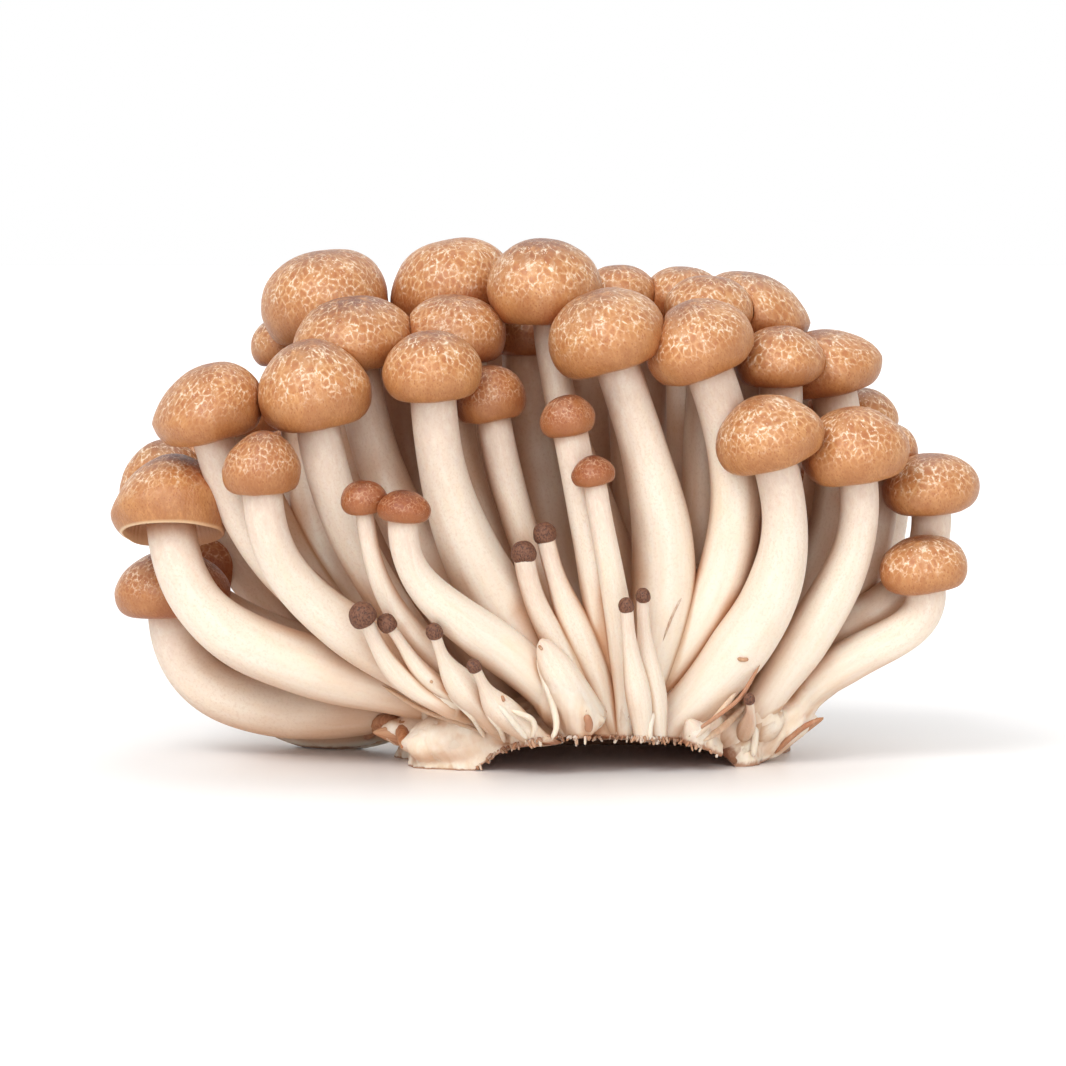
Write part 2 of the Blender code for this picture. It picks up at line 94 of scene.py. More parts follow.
# Lumps of the base between the roots: across, up, depth and radius. They are rounded in these steps.
LUMP_TURNS = [0.15, 0.5, 0.9, 1.3, 1.7, 2.1, 2.5, 2.99]
LUMP_SIDES = 14
LUMPS = [
    (39.2, 8.8, -8.0, 3.6),
    (30.5, 6.4, -11.0, 4.2),
    (-18.5, 3.6, -14.0, 3.4),
    (-11.0, 6.5, -15.5, 4.0),
    (25.5, 7.0, -15.0, 3.6),
]

# Thin pieces on the base and stems: width, tan, brown, and the places across and up that each passes.
STRANDS = [
    (1.1, 0.0, 0.0, [(-1.3, 17.6), (0.5, 12.8), (1.3, 10.4), (1.8, 8.3), (2.1, 6.4), (1.1, 4.8)]),
    (1.0, 0.0, 0.0, [(-7.4, 10.4), (-5.0, 7.6), (-2.8, 4.9)]),
    (0.9, 0.1, 0.0, [(-5.4, 9.6), (-2.1, 8.3), (-1.5, 7.0), (-2.1, 5.1)]),
    (0.9, 0.0, 0.0, [(6.7, 9.6), (5.5, 7.2), (4.1, 4.6)]),
    (0.8, 0.0, 0.0, [(2.1, 8.2), (1.8, 6.5), (1.1, 5.0)]),
    (1.3, 0.3, 0.9, [(6.6, 8.8), (7.1, 7.4), (6.9, 6.0)]),
    (2.4, 0.9, 0.2, [(-28.7, 5.1), (-26.8, 7.8), (-24.7, 8.3), (-22.3, 5.6), (-22.9, 3.5)]),
    (0.7, 0.4, 0.9, [(23.0, 5.3), (27.0, 8.2), (31.2, 11.2), (34.4, 16.8)]),
    (0.9, 0.5, 0.1, [(24.2, 5.1), (27.5, 8.6), (30.7, 12.5)]),
    (1.1, 0.6, 0.3, [(25.4, 4.6), (28.8, 7.0), (32.0, 10.2)]),
    (1.1, 0.0, 0.0, [(33.8, 6.9), (33.6, 4.6), (33.3, 2.1)]),
    (0.9, 0.7, 0.8, [(44.6, 8.4), (41.5, 7.0), (38.4, 4.4), (36.8, 2.6)]),
    (0.5, 0.2, 0.6, [(24.6, 33.1), (22.5, 29.0), (20.4, 25.0), (18.9, 20.6)]),
    (0.6, 0.3, 1.0, [(-6.9, 11.9), (-6.5, 10.9)]),
    (0.7, 0.8, 0.6, [(30.8, 17.8), (31.7, 17.6), (32.6, 17.7)]),
    (0.5, 0.6, 0.6, [(-18.4, 14.2), (-17.9, 14.0)]),
    (0.5, 0.6, 0.8, [(-1.0, 19.9), (-0.4, 19.2)]),
    (0.8, 0.1, 0.0, [(-26.0, 13.5), (-19.5, 9.4), (-14.0, 7.6), (-9.5, 5.8)]),
    (0.9, 0.1, 0.0, [(-15.5, 12.0), (-11.5, 8.4), (-9.6, 5.2)]),
    (0.8, 0.2, 0.1, [(-9.2, 8.6), (-7.2, 6.6), (-6.4, 4.4)]),
    (0.8, 0.0, 0.0, [(9.8, 9.6), (10.2, 7.2), (10.6, 4.8)]),
    (0.7, 0.1, 0.1, [(13.4, 8.6), (12.9, 6.6), (12.6, 4.7)]),
    (0.8, 0.0, 0.0, [(17.4, 9.2), (16.9, 7.0), (16.8, 4.8)]),
]

# The steps and sides of a thin piece, and how much of its width it stands proud of what carries it.
STRAND_STEPS = 14
STRAND_SIDES = 10
STRAND_PROUD = 0.25

# The ragged edge of the cut: how many short threads, where across, and how far back they may start.
FRINGE = 130
FRINGE_SPAN = (-11.0, 31.0)
FRINGE_BACK = -6.0

# How many points are measured against the stems at a time.
BLOCK = 500

# The steps along each kind of stem, its sides and how lumpy it is.
STEM = (64, 30, 0.05)
PIN = (24, 16, 0.05)
FINGER = (24, 20, 0.10)

# What the numbers of pins, fingers and pin heads count on from, so that each has its own noise.
PINS_FROM = 60
FINGERS_FROM = 80
HEADS_FROM = 100

# The part of each kind of stem that is melted into the base: its sides, its thickness at the root and at
# its upper end as shares of the stem's, and its length. Fingers with lower roots than this end thicker.
STEM_ROOT = (14, 1.12, 0.84, 17.0)
PIN_ROOT = (12, 1.15, 0.80, 12.0)
FINGER_ROOT = (14, 1.10, 0.85, 15.0)
LOW_FINGER_ROOT = (14, 1.10, 0.95, 15.0)
LOW_FINGER = 8

# The sides of a cap and of a pin head, and the rings of the dome and of the rim or the underside.
CAP_SIDES = 112
HEAD_SIDES = 32
DOME_RINGS = 26
UNDER_RINGS = 12

# How far apart caps that press on each other stay, and how often their dents are evened out.
CAP_PRESS = 0.15
EVEN_ROUNDS = 5

# Gills: how deep the ribs are, how many there are to a millimetre of the cap's width and the least of them.
RIB_DEPTH = 0.28
RIBS_WIDE = 2.6
RIBS_LEAST = 18

# The lights: name, heading, height, spread, power and tint. What lights the object from all round is dimmer.
LIGHTS = [
    ("key", -36, 44, 30, 1.38, (1.0, 0.985, 0.965)),
    ("front", 8, 24, 50, 1.2, (1, 1, 1)),
    ("top", 150, 70, 40, 0.45, (1, 1, 1)),
]
FILL_POWER = 0.45
FILL_TINT = (1.0, 0.985, 0.97, 1)

# The floor, in metres: its half width, and the oval over which it grows rougher and brighter outwards, the
# brightness a painted glow that fades its shadow and reflection further out.
FLOOR_REACH = 6.0
FLOOR_OVAL = (0.105, 0.10, 1.0)

# The hollow that the knife left under the front: its middle, half span and rise across the cluster, and
# the depths between which its roof comes down to the surface.
HOLLOW_MIDDLE = 9.5
HOLLOW_HALF_SPAN = 20.5
HOLLOW_RISE = 5.0
HOLLOW_FULL = -6.0
HOLLOW_BACK = 15.0

WIDEST_UP = 0.36
LIP_RADIUS = 0.72
OPEN_LIP_RADIUS = 0.86
APEX_ROUNDING = 0.16
SUNK = 2.2
UPRIGHT_SWEEP = 0.36
SIDEWAYS_SWEEP = 0.56
CAP_SWEEP = 0.36
BELLY_AT = 0.34
ROOT_SHARE = 0.72

# A stem that starts lower than this turns down to the cut: how far below it and how far inwards it goes.
FOOT_BELOW = 6.5
FOOT_DEEP = 3.0
FOOT_IN = 3.0

# How far down and back the foot of a pin goes into the base.
ROOT_DOWN = 3.0
ROOT_BACK = 4.0

Mushroom = namedtuple(
    "Mushroom",
    "across up depth cap_wide cap_tall full lean nod stem_wide belly root_across root_up root_depth root_lean"
    " peak",
    defaults=(0.0,),
)

# across, up, depth: where the cap sits on its stem. lean is to the right and nod towards the front,
# in degrees. full is the roundness of the dome. root_lean is the stem's lean where it leaves the base.
# peak is how far the top of a lopsided dome stands to the right of its middle.
MUSHROOM_ROWS = [
    # left side of the front
    (-53.1, 53.4, -19, 17.9, 11.1, 1.7, -13, 7, 6.6, 7.5, -11.9, 6.0, -11, -50, 2.2),
    (-36.4, 55.6, -21, 17.8, 13.1, 1.6, -8, 8, 7.0, 6.4, -9.5, 4.7, -14, -35),
    (-34.3, 69.3, 5, 21.4, 13.8, 2.1, -8, 6, 8.0, 9.0, -8.0, 5.0, -2, -35, 0.5),
    (-41.0, 65.4, 14, 11.6, 7.4, 2.0, -12, 2, 6.5, 10.0, -10.0, 5, 4, -58),
    (-30.1, 65.1, -10, 19.2, 10.6, 1.7, -6, 10, 7.2, 8.7, -4.3, 5.1, -8, -26),
    (-14.3, 71.6, 6, 19.0, 13.4, 2.1, -8, 7, 8.0, 9.0, 6.0, 5.0, 0, -22, 1.0),
    (-14.7, 66.0, -8, 16.8, 9.8, 2.0, 3, 8, 6.5, 8.0, 2.0, 5, -6, -20),
    (-17.9, 60.1, -22, 16.1, 9.9, 1.8, -3, 9, 7.3, 10.4, 7.4, 5.4, -15, -37),
    # middle and right side of the front
    (0.5, 72.4, -6, 18.5, 12.6, 1.8, -4, 9, 5.0, 7.7, 16.8, 5.1, -4, -5, -0.6),
    (-8.2, 56.3, -14, 11.2, 8.3, 1.9, -9, 6, 5.5, 4.8, 7.2, 4.9, -9, -15),
    (4.1, 53.9, -24, 8.7, 6.0, 1.7, -10, 7, 5.5, 7.0, 11.6, 5.0, -16, -2),
    (8.0, 45.8, -28, 6.9, 4.4, 1.5, -9, 7, 3.7, 4.5, 12.5, 5.1, -19, 3),
    (11.4, 65.2, -17, 19.3, 11.7, 1.8, -18, 9, 7.1, 10.4, 12.6, 6.0, -14, 25, -0.5),
    (12.0, 72.8, 7, 13.0, 8.0, 1.9, -3, 4, 5.5, 7.0, 18.0, 5, 2, -6),
    (22.1, 72.3, 8, 13.5, 8.2, 2.0, 0, 4, 5.5, 7.0, 22.0, 5, 2, 3),
    (26.1, 70.4, -4, 14.7, 8.6, 1.9, 4, 6, 6.0, 7.5, 24.0, 5, -3, 5),
    (26.2, 64.0, -17, 17.2, 11.2, 1.7, -21, 9, 7.6, 8.5, 12.1, 6.8, -13, 45),
    (33.5, 69.6, 5, 17.6, 9.8, 1.9, 10, 5, 6.5, 8.0, 27.0, 5.0, 1, 12, -2.4),
    (37.7, 62.1, -9, 13.9, 8.8, 1.7, -3, 10, 7.0, 8.0, 28.0, 5.0, -6, 15),
    (46.1, 60.9, 0, 17.1, 9.8, 1.7, -13, 8, 7.5, 8.0, 31.0, 5.0, -2, 30, -1.3),
    (50.1, 53.7, 10, 13.0, 7.6, 1.9, 5, 3, 5.5, 6.5, 32.0, 5.0, 4, 35),
    (36.8, 49.2, -22, 16.6, 10.6, 1.7, -16, 9, 7.0, 9.7, 17.8, 4.8, -16, 46),
    (50.0, 46.9, -16, 16.6, 11.0, 1.7, -9, 9, 6.3, 7.8, 31.4, 4.5, -12, 28),
    (53.8, 47.9, -1, 11.4, 7.8, 1.9, 0, 4, 6.1, 6.1, 32.2, 6.1, -2, 46),
    (61.8, 41.8, -6, 15.9, 8.7, 1.9, -4, 7, 6.4, 6.7, 30.5, 13.1, -3, 65),
    (60.9, 29.3, -12, 13.6, 8.0, 2.0, -8, 9, 6.4, 7.1, 39.8, 7.9, -8, 26),
    # low on the left
    (-45.2, 44.7, -29, 11.9, 9.3, 1.5, -2, 7, 6.3, 8.0, -8.3, 5.5, -17, -49, 0.5),
    (-59.6, 37.6, -15, 19.0, 12.7, 1.5, -9, -17, 7.9, 9.9, -13.8, 9.2, -13, -74, 1.3),
    (-60.2, 40.5, 4, 14.5, 12.5, 1.6, -4, 0, 7.5, 9.5, -15.0, 5, 4, -62),
    (-59.3, 25.0, 1, 18.6, 10.3, 1.6, -2, 2, 8.6, 9.2, -12.0, 11.1, -3, -104),
    (-28.8, 41.3, -30, 7.3, 4.8, 1.9, -5, 7, 2.9, 4.5, -3.8, 5.1, -20, -47),
    (-22.7, 40.1, -33, 8.4, 4.4, 1.8, 3, 8, 4.7, 7.7, 4.3, 6.9, -22, -30),
    # behind the front rows
    (-2.9, 66.4, 13, 12.0, 7.4, 1.8, 0, 0, 8.2, 9.5, 8.0, 5, 4, -8),
    (-54.4, 28.6, 19, 16.0, 9.6, 1.9, -8, -5, 7.0, 10.4, -20.0, 6.8, 7, -108),
    (-35.5, 67.0, 22, 16.5, 9.6, 1.9, -12, -10, 6.5, 8.0, -8.0, 5, 9, -30),
    (-24.0, 66.4, 17, 13.5, 8.0, 1.9, -4, -4, 7.5, 11.0, -2.0, 5, 8, -24),
    (-10.5, 69.0, 25, 17.5, 10.0, 1.9, -5, -14, 8.5, 11.0, 2.0, 5, 11, -12),
    (6.5, 69.0, 26, 16.0, 9.4, 1.9, 0, -14, 9.0, 12.0, 9.0, 5, 12, -4),
    (17.0, 67.0, 21, 15.5, 9.0, 1.9, 3, -12, 6.5, 8.0, 14.0, 5, 11, 4),
    (29.0, 66.0, 21, 15.0, 8.8, 1.9, 5, -12, 6.0, 7.5, 22.0, 5, 10, 10),
    (39.5, 61.0, 13, 14.0, 8.4, 1.9, 8, -8, 6.0, 7.5, 27.0, 5, 8, 22),
    (46.5, 53.0, 23, 14.5, 8.6, 1.9, 10, -12, 8.5, 10.5, 30.0, 5, 9, 38),
    (-48.5, 53.0, 12, 15.5, 9.0, 1.9, -12, -6, 8.0, 11.0, -12.0, 5, 6, -52),
    (-54.0, 46.0, 20, 14.0, 8.4, 1.8, -12, -10, 6.0, 7.0, -15.0, 5, 8, -60),
    (54.0, 44.0, 11, 13.5, 8.0, 1.9, 8, -6, 9.4, 9.6, 33.0, 6, 5, 58),
    (-37.4, 48.6, 29, 16.5, 10.0, 1.8, -6, -14, 11.2, 13.0, -8.0, 5, 14, -46),
    (-13.0, 50.0, 31, 15.0, 8.8, 1.8, -3, -12, 6.5, 9.5, 2.0, 5, 16, -22),
    (4.6, 45.8, 31, 13.0, 8.6, 1.8, 2, -12, 6.0, 8.5, 9.0, 5, 16, -4),
    (23.0, 49.0, 31, 15.0, 8.8, 1.8, 5, -12, 6.5, 9.0, 18.0, 5, 15, 16),
    (41.0, 41.0, 28, 13.5, 8.6, 1.8, 6, -10, 6.0, 8.0, 27.0, 5, 12, 48),
]
PIN_ROWS = [
    (-28.6, 23.6, -32.0, 4.2, 3.5, 2.0, -25, 25, 2.4, 3.6, -15.0, 10, -25, -60),
    (-24.6, 22.6, -30.5, 3.0, 2.7, 2.0, -35, 20, 1.8, 3.2, -12.0, 11, -25, -62),
    (-17.4, 21.2, -32.0, 2.6, 2.4, 2.0, -15, 20, 1.8, 5.4, -8.0, 8, -25, -38),
    (-11.0, 15.9, -33.0, 2.2, 2.0, 2.0, -25, 25, 1.7, 5.0, -1.5, 6, -26, -55),
    (-3.2, 33.4, -24.0, 3.9, 3.2, 2.0, -8, 10, 3.4, 4.8, 8.8, 6, -19, -20),
    (0.2, 36.6, -23.0, 3.6, 3.0, 2.0, -12, 10, 3.0, 6.5, 10.0, 6, -18, -12),
    (13.1, 25.4, -30.0, 2.5, 2.2, 2.0, -4, 15, 2.1, 4.0, 15.4, 4, -23, -4),
    (15.7, 27.0, -27.0, 2.4, 2.1, 2.0, 0, 15, 2.0, 4.4, 17.6, 4, -21, -3),
    (32.8, 10.8, -22.0, 1.9, 1.6, 2.0, -10, 30, 1.3, 2.8, 31.0, 3, -13, 5),
]
MUSHROOMS = [Mushroom(*row) for row in MUSHROOM_ROWS]
PINS = [Mushroom(*row) for row in PIN_ROWS]

Finger = namedtuple("Finger", "across up depth tip_wide root_wide root_across root_up root_depth")
FINGER_ROWS = [
    (-0.6, 20.9, -29.0, 5.0, 7.2, 6.2, 8.0, -23.0),
    (-5.5, 11.0, -26.0, 3.0, 5.0, -2.0, 3.0, -21.0),
    (23.0, 8.0, -23.0, 3.0, 6.0, 25.0, 2.5, -17.0),
    (-23.2, 3.8, -18.0, 3.4, 12.5, -11.5, 5.6, -14.5),
    (44.6, 8.2, -8.0, 1.4, 8.0, 32.0, 3.0, -8.0),
    (-27.5, 6.0, -12.0, 1.6, 7.0, -19.0, 5.0, -10.0),
    (38.0, 9.5, -12.0, 6.0, 8.0, 31.0, 5.0, -9.0),
]
FINGERS = [Finger(*row) for row in FINGER_ROWS]

# How far above the cut its brown edge reaches, and how tan these torn ends are.
CUT_STAIN = 1.1
TAN_FINGERS = {5: 0.9, 6: 0.9}

# Small caps are redder, by this much for each of these, and this one stands open over its gills.
REDDER = {10: 0.45, 11: 0.8, 12: 0.9, 31: 0.9, 32: 1.0, 27: 0.25, 1: 0.1, 7: 0.15, 30: 0.3}
OPEN_CAP = 28

# How dark and purple-brown the crown of each cap is.
DUSK_ELSEWHERE = 0.7
DUSK = {28: 1.0, 30: 1.0, 5: 0.95, 4: 0.9, 9: 0.85, 18: 0.8, 20: 0.8, 8: 0.75, 16: 0.75}
DUSK.update({1: 0.5, 6: 0.4, 22: 0.4, 23: 0.4})

# How much the rim of the open cap is turned back to level.
OPEN_TILT = -0.16


def place(across, up, depth):
    """The point, in millimetres, that the front view shows at across and up when it lies at depth."""
    sine, cosine = math.sin(EYE_ELEVATION), math.cos(EYE_ELEVATION)
    seen_up = up - VIEW_MIDDLE_UP
    height = seen_up * (1 + depth * cosine / EYE_DISTANCE) - depth * sine
    height /= cosine + seen_up * sine / EYE_DISTANCE
    spread = 1 + (depth * cosine - height * sine) / EYE_DISTANCE
    return Vector((EYE_TARGET.x + (across - EYE_TARGET.x) * spread, depth, EYE_TARGET.z + height))


def axis_of(mushroom):
    """The way that a mushroom's cap points."""
    lean, nod = math.radians(mushroom.lean), math.radians(mushroom.nod)
    return Vector((math.sin(lean) * math.cos(nod), -math.sin(nod), math.cos(lean) * math.cos(nod)))


def seat_of(mushroom):
    return place(mushroom.across, mushroom.up, mushroom.depth)


def ease(t):
    t = min(max(t, 0.0), 1.0)
    return t * t * (3 - 2 * t)


def stem_radius(mushroom, t):
    belly, top = mushroom.belly / 2, mushroom.stem_wide / 2
    if t < BELLY_AT:
        return belly * (ROOT_SHARE + (1 - ROOT_SHARE) * ease(t / BELLY_AT))
    return belly + (top - belly) * ease((t - BELLY_AT) / (0.9 - BELLY_AT))


def stem_path(mushroom, steps):
    """Points and radii along a stem, from its root in the base to the inside of its cap."""
    seat, axis = seat_of(mushroom), axis_of(mushroom)
    root = Vector((mushroom.root_across, mushroom.root_depth, mushroom.root_up))
    reach = (seat - root).length
    lean = math.radians(mushroom.root_lean)
    start = Vector((math.sin(lean), 0.6 * (seat.y - root.y) / reach, math.cos(lean))).normalized()
    sweep = reach * (UPRIGHT_SWEEP + (SIDEWAYS_SWEEP - UPRIGHT_SWEEP) * abs(math.sin(lean)))
    controls = (root, root + start * sweep, seat - axis * CAP_SWEEP * reach, seat)
    path = []
    for step in range(steps + 1):
        t = step / steps
        weights = ((1 - t) ** 3, 3 * t * (1 - t) ** 2, 3 * t * t * (1 - t), t**3)
        point = sum((weight * control for weight, control in zip(weights, controls)), Vector())
        path.append((point, stem_radius(mushroom, t)))
    if mushroom.root_up < FOOT_BELOW:
        foot = Vector((root.x - start.x * FOOT_IN, root.y, -FOOT_DEEP))
        path.insert(0, (foot, path[0][1]))
    path.append((seat + axis * min(SUNK, 0.3 * mushroom.cap_tall), path[-1][1]))
    return path


def finger_path(finger, steps):
    """Points and radii along a capless stem, with a rounded tip."""
    root = Vector((finger.root_across, finger.root_depth, finger.root_up))
    tip = place(finger.across, finger.up, finger.depth)
    path = []
    for step in range(steps + 1):
        t = step / steps
        wide = finger.root_wide + (finger.tip_wide - finger.root_wide) * t
        rounding = math.sqrt(max(1 - max(t - 0.5, 0) ** 2 * 3.95, 0.004))
        arch = Vector((0, -math.sin(math.pi * t) * 0.08 * (tip - root).length, 0))
        path.append((root.lerp(tip, t) + arch, wide / 2 * rounding))
    return path


def rooted(path):
    """The path with a narrower foot that goes back into the base."""
    (root, radius), (after, _) = path[0], path[1]
    foot = root - (after - root).normalized() * ROOT_DOWN + Vector((0, ROOT_BACK, 0))
    return [(foot, radius * 0.7)] + path


def lobes(number, angle):
    """How far a cap's rim stands in or out at an angle, as a share: no two caps are quite round."""
    draw = random.Random(number)
    first, second = draw.uniform(0, 6.28), draw.uniform(0, 6.28)
    return 1 + 0.035 * np.sin(2 * angle + first) + 0.018 * np.sin(3 * angle + second)


def wobble(points, size, seed):
    """Smooth noise of about unit strength at each point, with features of about that size in millimetres."""
    offset = Vector((seed * 17.3, seed * 5.1, seed * 9.7))
    return np.array([noise.noise(Vector(point) / size + offset) for point in points])


def lengths(points):
    """How far along a line each of its points is."""
    return np.concatenate([[0], np.cumsum(np.linalg.norm(np.diff(points, axis=0), axis=1))])


def placed(name, data):
    """A new object in the scene."""
    made = bpy.data.objects.new(name, data)
    bpy.context.scene.collection.objects.link(made)
    return made


def tree_of(pieces):
    """A search tree over the faces of pieces, in millimetres."""
    points, faces = [], []
    for piece in pieces:
        faces += [[corner + len(points) for corner in face.vertices] for face in piece.data.polygons]
        points += [corner.co / MM + BOX_MIDDLE for corner in piece.data.vertices]
    return BVHTree.FromPolygons(points, faces)


class Shape:
    """Rings of points gathered into one mesh, with named values for the shader at each point."""

    def __init__(self):
        self.points, self.faces, self.values = [], [], {}
        self.count = 0

    def rings(self, rows, values):
        """Adds a closed tube. rows is rings x sides x 3, and each value is rings x sides or the same x 3."""
        index = np.arange(rows[..., 0].size).reshape(rows.shape[:2])
        after = np.roll(index, -1, axis=1)
        quads = np.stack([index[:-1], after[:-1], after[1:], index[1:]], axis=-1).reshape(-1, 4)
        faces = quads.tolist() + [index[0][::-1].tolist(), index[-1].tolist()]
        flat = {name: value.reshape(-1, *value.shape[2:]) for name, value in values.items()}
        self.patch(rows.reshape(-1, 3), faces, flat)

    def patch(self, points, faces, values):
        """Adds any mesh, with values as name to one number or vector for each point."""
        self.faces += [[corner + self.count for corner in face] for face in faces]
        self.points.append(points)
        for name, value in values.items():
            self.values.setdefault(name, []).append(value)
        self.count += len(points)

    def make(self, name, material):
        mesh = bpy.data.meshes.new(name)
        points = (np.concatenate(self.points) - np.array(BOX_MIDDLE)) * MM
        mesh.from_pydata(points.tolist(), [], self.faces)
        for key, parts in self.values.items():
            flat = np.concatenate(parts)
            kind = "FLOAT_VECTOR" if flat.ndim == 2 else "FLOAT"
            store = mesh.attributes.new(key, kind, "POINT")
            store.data.foreach_set("vector" if flat.ndim == 2 else "value", flat.reshape(-1))
        shape = bmesh.new()
        shape.from_mesh(mesh)
        bmesh.ops.recalc_face_normals(shape, faces=shape.faces)
        shape.to_mesh(mesh)
        shape.free()
        mesh.shade_smooth()
        made = placed(name, mesh)
        made.data.materials.append(material)
        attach(made, "root")
        return made


def cut_height(x, y):
    """Height of the cut underside of the cluster."""
    share = (x - HOLLOW_MIDDLE) / HOLLOW_HALF_SPAN
    back = np.clip((y - HOLLOW_FULL) / (HOLLOW_BACK - HOLLOW_FULL), 0, 1)
    return HOLLOW_RISE * np.clip(1 - share**4, 0, None) * (1 - back**2)


class Shelter:
    """How closed in the surface is at a point, from rays sent outwards against the solids of the frame; the
    colours darken with it as painted shade.
    """

    def __init__(self):
        self.tree = tree_of(node for node in bpy.data.objects if node.type == "MESH")
        turns = [(2 * math.pi * 0.618034 * i, 1 - (2 * i + 1) / SHELTER_RAYS) for i in range(SHELTER_RAYS)]
        self.ways = [
            Vector((math.cos(turn) * math.sqrt(1 - up * up), math.sin(turn) * math.sqrt(1 - up * up), up))
            for turn, up in turns
        ]

    def at(self, point, normal):
        start, met, sent = point + normal * SHELTER_START, 0.0, 0.0
        for way in self.ways:
            facing = way.dot(normal)
            if facing > 0.1:
                sent += facing
                if self.tree.ray_cast(start, way, SHELTER_REACH)[0] is not None:
                    met += facing
        return met / sent

    def between(self, points, normals):
        """The shelter at many points, blended from that at some of them."""
        tree = KDTree(len(points[::SHELTER_STRIDE]))
        known = []
        for number, (point, normal) in enumerate(zip(points[::SHELTER_STRIDE], normals[::SHELTER_STRIDE])):
            tree.insert(Vector(point), number)
            known.append(self.at(Vector(point), Vector(normal)))
        tree.balance()
        out = np.empty(len(points))
        for number, point in enumerate(points):
            found = [(known[index], 1 / (0.2 + far)) for _, index, far in tree.find_n(Vector(point), 6)]
            out[number] = sum(value * weight for value, weight in found) / sum(weight for _, weight in found)
        return out

    def over(self, rows):
        """The shelter at each point of rings x sides x 3, worked out on a coarser grid of them."""
        ring_count, sides = rows.shape[:2]
        rings = np.unique(np.linspace(0, ring_count - 1, max(4, ring_count // 4)).round().astype(int))
        columns = np.arange(0, sides, max(1, sides // 9))
        middle = rows.mean(axis=1)
        coarse = np.empty((len(rings), len(columns)))
        for i, ring in enumerate(rings):
            before, after = rows[max(ring - 1, 0)], rows[min(ring + 1, ring_count - 1)]
            for j, column in enumerate(columns):
                along = after[column] - before[column]
                around = rows[ring, (column + 1) % sides] - rows[ring, column - 1]
                normal = np.cross(around, along)
                if normal.dot(rows[ring, column] - middle[ring]) < 0:
                    normal = -normal
                size = np.linalg.norm(normal)
                normal = normal / size if size > 1e-9 else np.array([0.0, 0.0, 1.0])
                coarse[i, j] = self.at(Vector(rows[ring, column]), Vector(normal))
        tall = np.stack([np.interp(np.arange(ring_count), rings, column) for column in coarse.T], axis=1)
        wrapped = np.concatenate([tall, tall[:, :1]], axis=1)
        places = np.append(columns, sides)
        return np.stack([np.interp(np.arange(sides), places, row) for row in wrapped])


def tube_rows(path, sides):
    """Centres and radii along a path, the ways out from it as rings x sides x 3, and the sides' angles."""
    centres = np.array([point for point, _ in path])
    radii = np.array([radius for _, radius in path])
    along = np.gradient(centres, axis=0)
    along /= np.linalg.norm(along, axis=1)[:, None]
    angle = np.linspace(0, 2 * np.pi, sides, endpoint=False)
    side = np.array([0.0, 1.0, 0.0])
    around = []
    for direction in along:
        side = side - direction * side.dot(direction)
        side = side / np.linalg.norm(side)
        around.append(np.cos(angle)[:, None] * side + np.sin(angle)[:, None] * np.cross(direction, side))
    return centres, radii, np.array(around), angle


def stem_distances(points, places, radii, owners):
    """How far each point is from each stem's surface, in millimetres: points x stems."""
    starts = np.flatnonzero(np.concatenate([[True], owners[1:] != owners[:-1]]))
    out = np.empty((len(points), len(starts)))
    for start in range(0, len(points), BLOCK):
        block = points[start : start + BLOCK]
        square = (block**2).sum(1)[:, None] + (places**2).sum(1)[None] - 2 * block @ places.T
        gaps = np.sqrt(np.maximum(square, 0)) - radii[None]
        out[start : start + BLOCK] = np.minimum.reduceat(gaps, starts, axis=1)
    return out


def crowding(points, own, places, radii, owners):
    """How far each point is from the nearest stem but its own, in millimetres."""
    other = owners != own
    return stem_distances(points, places[other], radii[other], owners[other]).min(axis=1)


def add_stem(shape, path, sides, seed, crowd, shelter, lumps, tan):
    """Adds one stem: a round tube with faint lumps, lengthwise grooves and a cut-off underside."""
    centres, radii, around, angle = tube_rows(path, sides)
    length = lengths(centres)
    share = length / length[-1]
    ones = np.ones((len(radii), sides))
    across, behind = ones * np.cos(angle) * 3.0, ones * np.sin(angle) * 3.0
    local = np.stack([across, behind, ones * length[:, None]], axis=-1)
    flat = local.reshape(-1, 3)
    swell = wobble(flat * (1, 1, 0.6), 6.0, seed).reshape(ones.shape)
    groove = wobble(flat * (1, 1, 0.12), 1.5, seed + 0.5).reshape(ones.shape)
    fade = np.clip((1 - share) * 3, 0.25, 1)[:, None]
    out = radii[:, None] * (0.985 + lumps * swell * fade) + 0.10 * groove * fade
    rows = centres[:, None] + around * out[..., None]
    floor = cut_height(rows[..., 0], rows[..., 1]) + 0.12
    rows[..., 2] = np.maximum(rows[..., 2], floor)
    values = {
        "fibre": local + np.array([0, 0, seed * 31.7]),
        "rise": ones * share[:, None],
        # Nearness to other stems, which paints shade into the creases between them.
        "near": crowding(rows.reshape(-1, 3), seed, *crowd).reshape(ones.shape),
        # How closed in the stem is, which darkens its colour as painted shade.
        "shelter": shelter.over(rows),
        "cut": np.clip(1 - (rows[..., 2] - floor) / CUT_STAIN, 0, 1),
        "tan": ones * tan,
    }
    shape.rings(rows, values)


def peak_shift(mushroom, height):
    """How far a lopsided dome has moved to the right at a height."""
    rise = (height / mushroom.cap_tall - WIDEST_UP) / (1 - WIDEST_UP)
    return mushroom.peak * np.clip(rise, 0.0, 1.0)


